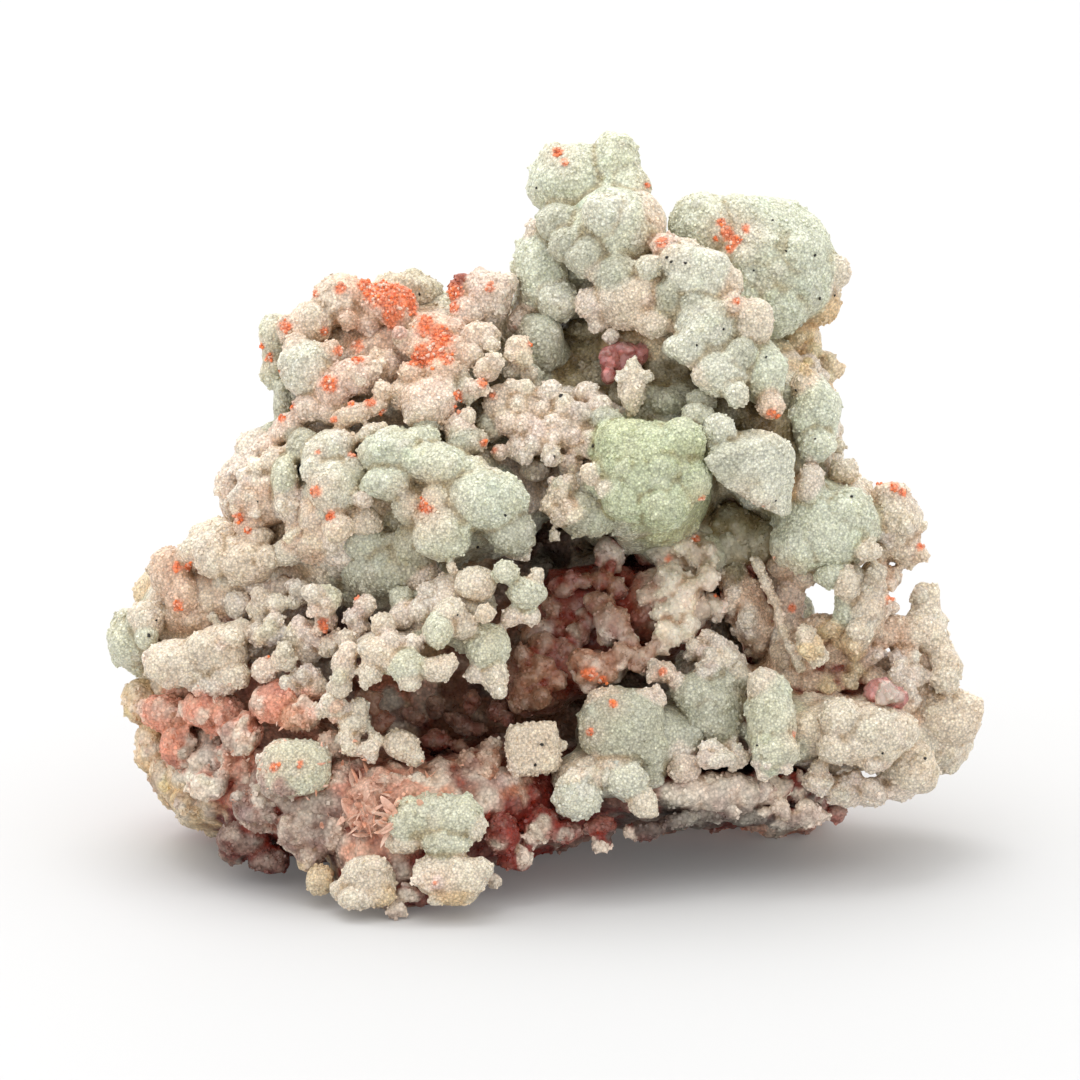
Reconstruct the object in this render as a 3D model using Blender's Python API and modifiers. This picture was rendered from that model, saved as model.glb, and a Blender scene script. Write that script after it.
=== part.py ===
"""Boracite with hilgardite: one free-standing crystal specimen on its own rock matrix.

The specimen is described lump by lump on a display face, the plane that a viewer looks at square on.
That face leans back by FACE_TILT_DEG. Each lump is a rounded body given by its place on the face, how far
its nearest point stands forward, and its half widths. Lumps that grew together are fused in one solid.
Table values are in table units, and one unit is a millimetre when SPECIMEN_WIDTH is 70.5 mm.
"""
import math

import bmesh
import bpy
from mathutils import Vector

# Driving dimensions, in metres and degrees
SPECIMEN_WIDTH = 0.0705
FACE_TILT_DEG = 15.0
GAP = 0.00036
VOXEL = 0.0006
FLOOR_BLOCK = 0.120

# Points closer than MERGE become one, and edges shorter than SLIVER are dissolved, in metres
MERGE = 0.00001
SLIVER = 0.00002

# The tables span this many units from the left edge to the right edge
TABLE_WIDTH = 70.5
UNIT = SPECIMEN_WIDTH / TABLE_WIDTH
# Moves the table's own zero to the middle of the footprint, at floor level, in table units
SHIFT = Vector((0.18, -5.35, -4.1))

# How far a lump runs back into the mass, as a multiple of how far it stands forward
BACK_STRETCH = 1.7
ROUND = 2.0

# Icosphere levels, where the thinnest half size of a lump is above or below BIG_LUMP table units
BIG_LUMP = 2.0
FINE_BALL = 3
COARSE_BALL = 2

# Triangles that each finished solid is thinned to, before its neighbours are cut out of it
FACES = {
    "matrix": 1750,
    "boracite_cluster": 4750,
    "boracite_front_knobs": 360,
    "boracite_left_block": 200,
    "boracite_cube": 90,
    "hilgardite_crystals": 150,
    "hilgardite_right": 110,
    "cavity_druse": 640,
}

# Lumps of the display face: (across, up, front, half width, half height, turn in degrees, squareness)
# A missing half height equals the half width. Squareness 2 is a ball, 6 is a cube with soft corners.
CROWN = (
    (2.2, 58.2, 4.0, 3.8, 3.5), (5.4, 59.6, 3.6, 2.2, 2.9), (-0.3, 57.6, 2.4, 1.3), (6.2, 57.8, 4.2, 2.2),
    (0.6, 60.2, 2.6, 1.5), (5.4, 54.3, 8.0, 3.8, 3.7), (4.4, 55.6, 8.7, 1.9), (3.2, 52.3, 8.4, 1.9),
    (4.1, 51.1, 8.3, 1.1), (7.6, 55.2, 6.8, 1.9, 2.4), (0.9, 55.1, 6.0, 1.9, 1.7),
    (-0.3, 51.4, 5.0, 2.6, 3.9), (0.8, 48.8, 6.0, 1.9), (-1.6, 52.4, 4.0, 1.3), (1.6, 53.3, 7.6, 1.6),
    (6.8, 49.2, 9.6, 3.1, 2.9), (3.4, 48.5, 8.2, 1.5), (8.5, 47.0, 10.0, 1.7, 1.3), (5.6, 50.8, 9.3, 1.9),
    (8.0, 51.5, 10.0, 1.2), (9.4, 53.3, 8.8, 1.5, 1.1), (12.0, 50.9, 10.6, 2.7, 2.3, -8.0, 4.0),
    (10.4, 51.9, 10.2, 1.5), (11.0, 53.1, 8.6, 1.3, 0.9), (14.7, 50.3, 10.0, 1.0, 1.2, 0.0, 3.0),
    (9.9, 49.0, 10.2, 1.7), (11.9, 48.3, 10.9, 1.6), (12.7, 46.8, 11.6, 2.9, 3.0), (11.4, 44.9, 12.0, 1.6),
    (14.7, 48.5, 11.0, 1.0), (16.4, 47.2, 11.2, 1.75, 2.0, 0.0, 2.6), (13.6, 43.0, 12.4, 2.3, 2.0),
    (15.0, 41.3, 12.8, 1.1, 1.1, 15.0, 3.0), (12.2, 42.8, 12.0, 1.0), (17.3, 42.9, 11.2, 1.9, 2.7),
    (17.8, 40.4, 11.6, 1.3), (15.3, 44.5, 12.0, 1.4),
)

EGG = (
    (16.7, 51.9, 4.6, 7.0, 4.5, -24.0), (12.3, 55.1, 3.6, 2.5), (14.6, 55.9, 3.4, 1.8),
    (17.4, 54.7, 4.0, 2.0), (20.2, 53.2, 3.6, 1.9), (21.5, 52.6, 3.0, 1.6), (23.0, 51.2, 2.0, 1.5, 1.75),
    (21.9, 48.7, 1.4, 1.7, 1.9), (18.3, 48.4, 4.4, 2.6), (16.0, 49.6, 4.6, 2.2),
    (19.9, 46.4, 0.6, 1.9, 2.1), (22.1, 43.9, 0.0, 1.35, 1.3), (20.8, 43.6, 2.0, 1.2),
    (20.3, 44.8, 0.6, 1.3),
)

RIGHT_COLUMN = (
    (21.1, 39.8, 8.2, 2.1, 3.5), (22.5, 40.3, 6.4, 1.15, 1.6), (20.6, 42.2, 7.6, 1.5),
    (21.3, 37.4, 8.5, 1.6), (23.7, 35.2, 5.4, 1.45, 1.3), (20.9, 34.2, 9.0, 1.15, 1.7, -12.0, 3.0),
    (19.5, 33.6, 8.2, 1.3), (16.6, 35.8, 14.0, 3.0, 3.1, 12.0, 3.2), (17.0, 33.6, 13.6, 1.5, 1.3),
    (13.5, 38.5, 13.4, 1.6), (14.3, 36.2, 14.2, 1.5), (22.2, 30.7, 9.4, 4.0, 3.7), (24.0, 31.8, 9.0, 2.3),
    (20.0, 29.4, 9.0, 2.4), (25.5, 28.8, 9.2, 1.25, 0.95), (23.8, 26.4, 9.0, 1.2, 1.5),
    (27.6, 31.1, 5.4, 2.4, 3.3), (27.4, 33.4, 5.0, 1.7, 1.2), (29.0, 31.4, 4.6, 1.1, 1.5),
    (28.8, 28.9, 4.6, 1.3, 1.5), (25.9, 26.4, 7.2, 1.1, 1.2), (25.6, 24.4, 7.8, 1.2, 1.6),
    (24.7, 22.6, 8.4, 1.15, 1.0),
)

RIGHT_WING = (
    (19.0, 25.6, 3.6, 1.4, 2.2), (18.7, 23.6, 4.0, 1.3), (20.6, 21.8, 9.4, 1.0, 1.5, 20.0),
    (21.4, 20.6, 9.8, 1.0, 1.2), (22.0, 22.9, 6.0, 1.2, 0.9), (24.0, 20.3, 5.0, 1.8, 1.3),
    (25.7, 18.9, 4.4, 1.6, 1.0), (28.4, 20.3, 4.0, 1.1, 1.5), (30.0, 23.4, 2.8, 1.0),
    (30.5, 22.0, 4.2, 1.8, 1.7), (31.5, 20.4, 4.4, 1.3, 1.4), (31.7, 18.6, 4.8, 1.3),
    (29.0, 18.1, 3.4, 1.9, 1.6), (32.0, 15.4, 4.2, 3.0, 2.8), (33.2, 16.7, 3.8, 1.9, 1.7),
    (33.9, 15.5, 3.2, 1.1), (22.4, 18.6, 5.2, 2.4, 1.3), (19.6, 18.6, 6.0, 1.6, 1.6),
    (27.0, 16.6, 5.2, 2.6, 1.8),
)

LOWER_RIGHT = (
    (25.2, 14.4, 11.6, 4.2, 2.8), (23.2, 15.7, 11.8, 1.8), (27.8, 14.7, 10.8, 1.9, 1.6),
    (22.8, 13.2, 11.6, 1.8, 1.5), (28.9, 11.7, 7.6, 2.4, 2.3), (29.7, 10.9, 6.8, 1.5),
    (28.1, 10.0, 7.0, 1.5, 1.2), (23.6, 9.8, 8.2, 2.1, 1.4), (21.4, 10.6, 9.4, 1.4, 1.1),
    (25.6, 9.7, 7.8, 1.5, 1.4), (17.8, 15.6, 13.2, 2.2, 3.9), (18.0, 13.0, 13.8, 2.0, 1.9),
    (17.2, 18.2, 12.4, 1.7, 1.7), (12.9, 16.3, 11.4, 3.0, 3.5), (11.6, 17.6, 11.6, 1.8),
    (13.7, 20.4, 9.0, 1.8, 1.7), (12.2, 21.2, 8.2, 1.2), (10.7, 11.8, 12.0, 1.35, 1.7),
    (13.2, 12.6, 12.4, 1.2), (14.9, 12.4, 11.0, 1.2, 0.9), (5.9, 15.0, 14.6, 3.6, 3.2, 0.0, 2.5),
    (8.2, 13.4, 14.2, 1.6), (4.8, 17.0, 13.4, 2.0, 1.2), (8.4, 17.3, 12.4, 1.2, 0.9),
    (2.3, 9.3, 15.2, 2.2, 1.85), (3.2, 10.9, 14.4, 1.6, 1.1), (6.3, 10.7, 15.0, 1.9, 1.6),
    (7.6, 8.9, 14.8, 1.35, 1.5), (5.4, 12.1, 14.0, 1.8, 1.0), (9.2, 19.3, 10.6, 1.2, 1.0),
)

CENTRE = (
    (7.8, 35.4, 16.0, 4.6, 3.9), (9.2, 32.5, 16.0, 2.3, 2.2), (6.2, 33.2, 15.8, 2.2),
    (11.3, 34.6, 15.2, 1.9, 2.0), (5.9, 37.4, 15.0, 2.3, 2.1), (10.4, 37.4, 15.2, 2.3, 2.1),
    (3.4, 35.0, 15.0, 1.0, 1.1), (4.6, 39.2, 12.4, 1.5, 1.2), (11.9, 39.5, 12.4, 1.5, 1.3),
    (3.2, 31.8, 13.4, 2.7, 2.0), (0.9, 33.4, 13.0, 1.1, 1.4), (6.7, 41.4, 11.4, 1.15, 1.8),
    (1.7, 44.2, 2.6, 3.3), (9.3, 43.0, 3.4, 2.6), (9.4, 40.7, 8.6, 1.9, 1.4), (12.2, 40.9, 10.4, 1.4, 1.2),
    (6.6, 45.6, 6.2, 2.0, 1.2), (3.1, 41.5, 9.6, 1.3, 1.1), (2.0, 38.3, 12.2, 1.9, 2.1),
    (-1.2, 39.9, 11.2, 2.0, 2.2), (0.2, 41.6, 11.4, 1.0, 1.1), (-2.1, 37.3, 11.6, 1.2),
    (1.4, 40.4, 11.8, 1.0), (-3.7, 40.6, 10.8, 1.5, 1.7), (-4.8, 43.3, 11.2, 1.25, 1.2),
    (-2.35, 45.0, 9.8, 1.1, 1.2, 0.0, 2.6), (-5.4, 45.8, 9.2, 1.9, 1.5), (-0.6, 45.6, 6.2, 2.2, 2.4),
    (-2.0, 42.9, 8.0, 1.8, 1.2), (-1.0, 35.3, 9.4, 1.4, 1.0), (1.9, 35.6, 11.6, 1.2, 1.0),
    (-4.6, 38.8, 10.6, 1.4),
)

LEFT_SHOULDER = (
    (-4.8, 49.2, 6.4, 2.2, 2.3), (-6.4, 47.9, 6.8, 1.4), (-9.1, 46.3, 8.8, 2.2, 1.8),
    (-9.2, 44.7, 9.8, 2.1, 1.4), (-12.6, 48.7, 6.6, 2.3, 1.9), (-11.2, 47.0, 6.4, 1.3, 1.0),
    (-11.6, 49.2, 2.6, 3.1, 2.3), (-16.7, 48.8, 5.4, 2.2, 2.3), (-14.9, 49.5, 5.4, 1.3),
    (-18.9, 46.9, 5.8, 1.9, 2.1), (-20.6, 46.6, 4.8, 1.2, 1.4), (-21.7, 46.0, 2.6, 1.65, 2.2),
    (-21.9, 43.3, 2.4, 1.25, 1.7), (-19.0, 43.4, 8.6, 2.3, 2.4), (-20.0, 45.0, 7.0, 1.3),
    (-15.2, 42.7, 10.0, 2.3, 1.7), (-17.0, 41.7, 9.6, 1.6), (-13.3, 45.2, 5.2, 2.0, 1.7),
    (-17.2, 44.9, 8.4, 1.0), (-9.5, 40.6, 12.6, 2.4, 2.3, 14.0, 3.4), (-10.9, 43.1, 10.6, 1.1, 1.0),
    (-8.3, 43.4, 11.2, 1.5, 1.0), (-6.2, 41.6, 11.4, 1.1, 1.3), (-21.2, 40.6, 3.8, 0.85, 2.1),
    (-18.7, 40.2, 8.6, 1.8, 1.3), (-20.5, 38.7, 7.6, 1.7, 1.3, 25.0), (-22.2, 37.2, 6.6, 1.6, 1.2, 25.0),
    (-15.4, 39.7, 10.8, 2.1, 0.95, 15.0), (-23.6, 35.8, 6.4, 2.0, 1.5, 25.0), (-25.3, 34.2, 5.4, 1.4, 1.5),
    (-25.0, 32.4, 5.0, 1.2, 1.4), (-22.7, 32.9, 9.2, 2.5, 2.2), (-20.8, 34.4, 10.6, 1.2, 2.2),
    (-17.3, 36.9, 12.2, 2.6, 1.7, 28.0), (-17.0, 33.8, 14.0, 2.2, 2.4), (-16.6, 30.7, 14.4, 1.4, 1.35),
    (-18.6, 35.3, 12.6, 1.3), (-19.6, 30.0, 10.6, 1.6, 1.5), (-18.2, 28.6, 10.4, 1.4, 1.1),
    (-13.9, 38.3, 12.2, 1.6, 0.9, 20.0),
)

LEFT_MIDDLE = (
    (-12.2, 36.7, 14.4, 2.8, 2.1), (-8.6, 35.6, 15.4, 3.2, 1.9, -12.0), (-12.8, 34.3, 14.8, 2.2, 1.5),
    (-5.0, 32.9, 17.0, 3.4, 2.6), (-8.2, 30.5, 16.4, 2.6, 2.3), (-3.0, 30.4, 15.6, 2.2, 2.0),
    (-9.9, 38.0, 13.4, 1.6, 1.0), (-12.7, 27.7, 12.8, 4.1, 3.1), (-14.9, 29.6, 12.4, 1.9),
    (-9.9, 26.7, 12.6, 1.7), (-12.5, 31.5, 9.2, 2.0, 1.9), (-6.4, 37.6, 13.0, 1.9, 1.3),
    (-8.8, 33.0, 15.6, 1.4, 1.3), (-2.4, 28.8, 13.6, 1.3, 0.9),
)

CHAIN = (
    (-5.7, 26.3, 16.9, 1.9, 1.6), (-3.3, 27.2, 17.6, 1.15), (-1.7, 25.6, 16.8, 1.7, 1.4),
    (-2.9, 23.7, 15.8, 1.0), (-7.7, 24.3, 17.8, 1.3, 1.15), (-8.6, 22.6, 18.8, 1.35, 1.7),
    (-4.8, 21.4, 16.8, 2.1, 1.9), (-4.1, 18.9, 16.6, 1.2, 1.5), (-6.6, 23.0, 17.2, 1.2),
    (-13.3, 20.8, 18.0, 1.6, 1.4), (-13.0, 23.1, 16.6, 1.15, 1.15), (-14.0, 19.3, 17.6, 1.2),
    (-11.2, 19.7, 18.6, 1.7, 1.6), (-10.9, 18.6, 18.2, 1.1, 0.95), (-8.7, 19.6, 18.6, 1.5, 1.15),
    (-12.4, 21.7, 17.4, 1.1), (-16.1, 19.9, 16.4, 1.2, 1.3), (-17.7, 25.0, 14.0, 1.5, 1.5),
    (-15.1, 23.3, 13.4, 0.9, 1.4), (-15.6, 21.6, 14.4, 1.0),
)

FAR_LEFT = (
    (-26.6, 28.5, 8.8, 1.7, 2.1), (-24.0, 28.2, 9.4, 2.6, 2.0), (-25.8, 30.2, 7.4, 1.7, 1.3),
    (-23.2, 30.0, 8.6, 1.6, 1.2), (-28.4, 28.8, 6.8, 1.2), (-22.2, 28.3, 9.8, 1.2),
    (-30.1, 27.1, 6.2, 1.9, 2.3), (-29.0, 25.2, 6.8, 1.6, 1.9), (-33.2, 21.8, 4.2, 2.2, 2.6),
    (-31.9, 23.5, 5.6, 1.7), (-31.9, 22.0, 6.0, 1.1), (-29.3, 20.0, 10.2, 3.0, 2.1),
    (-26.1, 20.6, 10.4, 2.6, 2.5), (-27.6, 21.3, 10.8, 1.4), (-25.0, 19.0, 10.6, 1.6, 1.3),
    (-26.5, 18.2, 9.8, 2.0, 1.2), (-25.8, 24.4, 5.8, 2.8, 1.4), (-22.8, 24.3, 9.4, 1.15, 1.2),
    (-19.0, 21.6, 11.4, 1.6, 2.0), (-20.9, 20.2, 12.4, 1.15, 0.95), (-19.3, 18.8, 12.2, 1.5, 1.0),
    (-23.9, 21.6, 7.6, 1.0, 1.4),
)

FRONT_KNOBS = (
    (-9.2, 7.6, 18.8, 3.7, 2.3), (-11.2, 7.8, 19.0, 1.6, 1.8), (-7.2, 8.0, 19.2, 2.3, 1.9),
    (-5.7, 7.2, 18.6, 1.0, 1.3), (-11.4, 5.9, 18.2, 1.6, 0.9), (-8.0, 5.9, 19.0, 2.2, 1.3),
    (-7.6, 3.2, 19.4, 3.3, 1.9), (-5.4, 3.7, 19.0, 1.3, 1.2), (-9.4, 3.4, 19.2, 1.5, 1.4),
    (-7.4, 1.9, 18.8, 2.1, 1.1), (-14.2, 3.0, 18.2, 2.4, 2.1), (-13.9, 4.0, 18.6, 1.5, 1.1),
    (-15.1, 1.5, 18.4, 1.8, 1.1), (-13.2, 1.7, 18.0, 1.4, 1.0), (-18.0, 2.9, 14.8, 1.4, 1.4),
    (-16.5, 2.2, 16.6, 0.9),
)

LEFT_BLOCK = (
    (-20.3, 11.7, 15.4, 2.6, 1.7, -4.0, 3.4), (-20.6, 10.6, 15.4, 1.7, 1.2, 0.0, 2.6),
    (-18.2, 12.3, 14.8, 1.2, 1.2), (-22.2, 11.2, 14.8, 0.8, 1.2), (-20.9, 13.0, 14.6, 1.5, 0.9),
)

BEAD_ROW = (
    (-15.2, 15.4, 14.8, 1.3, 1.4), (-16.8, 16.5, 15.0, 1.1, 0.95),
    (-11.5, 13.5, 15.2, 1.6, 1.35, -20.0, 2.6), (-10.5, 12.6, 15.0, 0.9),
)

CUBE = (
    (-1.15, 13.2, 14.6, 2.3, 2.25, 6.0, 6.0),
)

MATRIX = (
    (-32.6, 16.9, 3.0, 1.6, 1.9), (-31.5, 13.3, 3.4, 1.6, 2.4), (-30.1, 10.9, 4.4, 1.6, 1.7),
    (-28.0, 9.2, 6.4, 1.9, 1.3), (-30.2, 16.0, 6.6, 2.4, 1.7), (-26.7, 16.2, 9.6, 2.8, 1.6),
    (-29.4, 13.4, 7.4, 1.6, 1.9), (-24.2, 14.4, 10.6, 1.8, 1.8), (-21.6, 16.8, 12.6, 2.2, 1.7),
    (-19.6, 15.8, 13.2, 1.7, 1.4), (-26.8, 10.3, 9.8, 1.9, 1.3), (-24.4, 11.8, 9.4, 1.7, 2.0),
    (-22.6, 8.4, 12.2, 2.5, 1.9), (-19.4, 6.9, 14.0, 2.2, 2.2), (-17.2, 6.7, 14.4, 1.8, 1.8),
    (-24.2, 6.0, 9.6, 2.2, 1.6), (-22.2, 4.4, 9.0, 1.8, 1.3), (-24.8, 4.9, 7.6, 1.3, 1.0),
    (-19.0, 4.6, 13.4, 1.2, 1.2), (-14.2, 9.8, 15.6, 1.5, 1.5), (-13.9, 7.8, 16.2, 1.1, 1.7),
    (-15.3, 8.4, 15.2, 0.9, 1.6), (-12.6, 10.6, 15.2, 1.5, 1.0), (-17.2, 13.6, 13.4, 1.3, 1.2),
    (-16.6, 11.0, 13.4, 1.9, 1.5), (-5.4, 11.4, 13.2, 1.4, 1.7), (-5.0, 9.9, 13.6, 1.4, 0.9),
    (-3.6, 6.6, 14.8, 1.5, 1.8), (-2.6, 4.6, 13.6, 1.6, 1.2), (-0.6, 7.2, 13.2, 1.7, 1.6),
    (-1.0, 9.6, 11.2, 1.6, 1.4), (1.2, 6.6, 12.8, 1.6, 0.9), (4.2, 7.0, 12.8, 1.5, 0.9),
    (-10.9, 1.9, 16.6, 1.5, 0.9), (7.6, 6.7, 12.0, 1.9, 0.75, 10.0), (10.4, 7.5, 11.2, 1.9, 0.75, 12.0),
    (13.2, 8.2, 10.4, 2.0, 0.95), (16.2, 7.9, 9.4, 2.0, 0.9), (18.6, 7.6, 8.2, 1.6, 0.8),
    (20.9, 8.0, 8.4, 1.3, 1.1), (17.2, 9.9, 10.0, 1.0), (19.6, 10.2, 8.0, 1.6, 1.2),
    (14.5, 10.4, 8.0, 1.8, 1.2),
)

CAVE_BEADS = (
    (-7.1, 15.2, 1.6, 0.8), (-5.6, 14.6, 2.4, 0.65), (-4.2, 16.0, 4.2, 0.8, 0.7),
    (-13.0, 15.5, 8.4, 0.9, 0.8), (-8.8, 13.4, 3.6, 0.8), (-3.2, 15.6, 5.6, 0.7), (-9.2, 16.6, 0.2, 0.7),
    (-11.0, 15.8, 3.0, 0.7), (-14.4, 17.0, 9.8, 1.2, 1.0), (-5.8, 16.9, 2.6, 0.6), (-7.0, 13.2, 4.4, 0.7),
)

DRUSE = (
    (0.9, 24.3, 4.0, 0.85), (4.0, 24.6, 6.6, 0.8), (5.0, 22.9, 8.0, 1.25, 1.35), (6.6, 21.7, 8.6, 0.8, 0.9),
    (7.3, 20.3, 9.6, 1.4, 0.95), (8.8, 21.2, 9.0, 0.9, 0.7), (9.8, 22.2, 8.4, 1.3, 1.0),
    (9.9, 24.0, 7.6, 1.5, 1.3), (11.2, 22.8, 7.8, 0.9, 1.1), (9.3, 26.5, 7.4, 1.05), (9.0, 25.2, 7.2, 0.75),
    (12.7, 26.7, 6.8, 0.95, 1.0), (11.1, 26.0, 7.0, 0.85), (10.8, 25.0, 7.6, 0.9),
    (2.1, 26.0, 3.4, 1.2, 0.6), (5.2, 28.6, 4.4, 1.25, 1.4), (6.9, 23.6, 5.0, 0.8, 1.2),
    (12.9, 24.5, 4.6, 1.0, 1.0), (3.7, 19.3, 10.0, 1.6, 1.2), (2.6, 19.8, 9.2, 0.8),
    (1.4, 20.9, 6.4, 1.0, 0.8), (-0.7, 19.4, 8.4, 0.95, 0.9), (-2.0, 20.4, 7.6, 0.9, 1.0),
    (-0.4, 21.2, 6.4, 0.8), (-1.6, 18.6, 8.0, 0.9), (-0.9, 17.0, 8.6, 0.8, 0.9), (-2.4, 17.2, 7.6, 0.8),
    (0.2, 22.6, 4.6, 0.8), (-1.2, 22.6, 5.4, 0.8), (10.2, 29.4, 5.4, 3.2, 2.4), (14.8, 30.4, 4.6, 2.8, 2.4),
    (12.8, 28.6, 5.6, 1.7), (17.2, 29.6, 4.8, 1.8), (16.8, 27.9, 3.6, 1.6, 1.0),
)

HILGARDITE = (
    (4.9, 44.2, 8.0, 1.0, 1.2), (6.2, 44.9, 7.6, 1.3, 0.7),
)

HILGARDITE_RIGHT = (
    (26.5, 17.5, 8.0, 1.4, 0.9), (27.5, 17.0, 8.2, 0.9, 0.8),
)

# Lumps that finish the side away from the viewer: (across, up, back, half width, half height)
BACK_OF_CLUSTER = (
    (3.0, 57.5, -5.2, 3.4, 3.4), (5.4, 53.0, -7.4, 3.6, 3.6), (0.6, 52.0, -6.8, 3.0, 3.5),
    (8.0, 50.5, -8.4, 2.6, 2.8), (2.5, 48.0, -9.4, 3.2, 2.8), (17.0, 51.6, -7.8, 5.4, 4.2),
    (12.6, 53.3, -6.4, 3.0, 2.6), (21.2, 49.8, -6.0, 2.6, 3.1), (15.0, 47.4, -9.4, 3.4, 3.0),
    (19.3, 45.6, -7.8, 2.8, 2.6), (-5.0, 46.8, -8.4, 3.2, 3.0), (-10.5, 47.4, -9.0, 3.6, 3.2),
    (-16.0, 46.2, -8.4, 3.6, 3.4), (-20.2, 43.8, -6.0, 2.7, 3.0), (-7.5, 42.0, -12.0, 3.8, 3.4),
    (-13.5, 41.4, -12.4, 3.9, 3.5), (-18.8, 39.0, -10.4, 3.5, 3.6), (-1.0, 43.0, -12.4, 3.8, 3.6),
    (5.0, 42.2, -13.4, 4.4, 4.0), (11.5, 42.4, -12.4, 3.8, 3.6), (17.4, 40.4, -11.0, 3.6, 3.6),
    (21.4, 37.0, -8.4, 2.5, 3.2), (-22.2, 34.4, -9.0, 3.4, 3.4), (-16.0, 35.2, -14.6, 4.2, 3.8),
    (-9.0, 36.2, -16.4, 4.2, 3.8), (-2.0, 36.6, -17.0, 4.2, 3.8), (5.5, 35.8, -17.2, 4.4, 4.0),
    (12.5, 36.0, -15.6, 4.0, 3.8), (18.6, 33.4, -13.0, 3.8, 3.8), (23.4, 30.6, -9.2, 3.1, 3.3),
    (27.4, 31.0, -4.8, 2.3, 3.0), (-26.4, 28.4, -9.0, 3.3, 3.0), (-30.3, 25.2, -6.8, 2.7, 3.0),
    (-32.6, 21.4, -5.6, 2.2, 2.6), (31.2, 19.6, -3.6, 2.2, 2.4), (32.2, 15.4, -5.4, 2.7, 2.6),
    (28.0, 15.0, -9.0, 3.5, 3.0), (22.8, 15.6, -11.6, 3.6, 3.2), (18.2, 25.4, -9.4, 1.9, 3.6),
)
BACK_OF_MATRIX = (
    (-27.0, 19.0, -12.6, 4.2, 4.4), (-20.4, 26.0, -17.0, 4.8, 4.4), (-12.0, 28.6, -19.6, 5.6, 4.6),
    (-3.0, 29.6, -21.2, 5.8, 4.8), (6.5, 28.6, -20.6, 5.6, 4.8), (14.5, 27.0, -17.6, 4.6, 4.6),
    (-16.0, 19.0, -22.4, 5.8, 5.4), (-5.5, 20.4, -24.2, 6.0, 5.6), (5.5, 20.0, -23.6, 6.0, 5.4),
    (14.8, 18.6, -20.0, 5.2, 5.0), (-24.4, 12.6, -14.6, 4.6, 4.2), (-16.0, 13.0, -20.8, 5.0, 4.4),
    (-5.0, 13.6, -23.4, 5.4, 4.6), (6.0, 13.4, -22.4, 5.4, 4.6), (15.6, 12.8, -17.6, 4.6, 4.2),
)

# Bulk that the lumps stand on: (across, up, depth of its middle, half width, half height, half depth)
BULK_OF_CLUSTER = (
    (3.4, 53.5, -1.4, 4.6, 6.4, 5.4), (16.4, 50.4, -2.0, 5.8, 4.8, 5.0), (10.4, 46.4, -1.0, 7.4, 6.2, 7.6),
    (6.0, 39.6, -4.0, 12.0, 7.6, 12.0), (-12.0, 43.0, -3.0, 9.2, 6.6, 9.0), (-9.6, 34.0, -1.0, 10.4, 6.2, 13.0),
    (-21.4, 33.0, -2.0, 4.6, 6.0, 8.0), (-26.0, 24.0, -2.0, 6.4, 5.4, 8.0), (18.0, 38.0, -2.4, 5.4, 7.6, 8.4),
    (22.4, 31.2, 0.4, 4.4, 3.8, 7.4), (6.6, 33.8, 1.0, 6.8, 4.8, 13.0), (20.0, 14.6, 1.6, 9.0, 3.2, 8.6),
    (29.0, 14.2, -1.4, 5.0, 3.4, 5.2), (8.0, 14.0, 6.0, 5.6, 3.2, 6.6), (-16.4, 31.0, 3.0, 5.0, 6.0, 9.0),
    (25.6, 19.0, -1.2, 5.6, 1.8, 3.8), (-22.6, 27.0, 1.0, 5.0, 3.6, 6.4), (-12.8, 27.6, 4.0, 4.6, 3.4, 7.4),
    (18.4, 25.0, -3.0, 1.9, 6.4, 5.4), (-7.6, 24.0, 12.6, 3.0, 3.2, 3.0), (-12.6, 21.0, 13.6, 3.2, 1.6, 2.6),
    (24.5, 22.0, 4.0, 1.0, 2.4, 3.4), (19.2, 20.0, 0.6, 2.0, 3.6, 4.6), (30.4, 20.4, 0.6, 1.7, 4.0, 2.6),
    (13.4, 18.0, 3.4, 3.0, 3.6, 6.4), (4.6, 11.2, 9.0, 4.6, 2.0, 4.6),
    (13.4, 32.4, -8.0, 5.4, 4.4, 6.4), (25.5, 24.6, 4.4, 1.6, 2.6, 2.8), (30.1, 23.4, 0.8, 1.2, 2.6, 2.4),
)
BULK_OF_MATRIX = (
    (-11.0, 9.0, -1.0, 16.6, 5.4, 16.4), (9.0, 10.4, -5.0, 13.6, 3.6, 14.6), (-23.6, 11.6, -2.0, 8.4, 5.6, 10.4),
    (-4.0, 20.4, -13.0, 18.6, 11.6, 9.6), (9.0, 23.0, -7.0, 6.4, 6.4, 8.4), (-2.0, 13.0, -12.0, 19.0, 7.4, 10.6),
    (-26.0, 17.4, -3.0, 6.6, 4.6, 8.0), (-12.0, 4.6, 10.6, 5.2, 4.6, 5.6), (18.6, 9.6, -8.0, 4.6, 3.6, 6.0),
    (10.4, 9.7, 1.6, 11.6, 2.5, 9.8), (1.8, 28.4, -14.4, 5.0, 6.4, 5.4),
)
BULK_OF_DRUSE = (
    (5.4, 23.6, 0.6, 7.6, 4.4, 3.8), (13.2, 29.2, 1.2, 5.6, 2.4, 3.4),
    (-0.6, 18.8, 3.6, 3.4, 3.0, 3.6), (3.8, 19.4, 5.6, 2.6, 1.4, 3.0), (9.4, 24.6, 3.4, 3.4, 3.0, 3.0),
)

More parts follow.
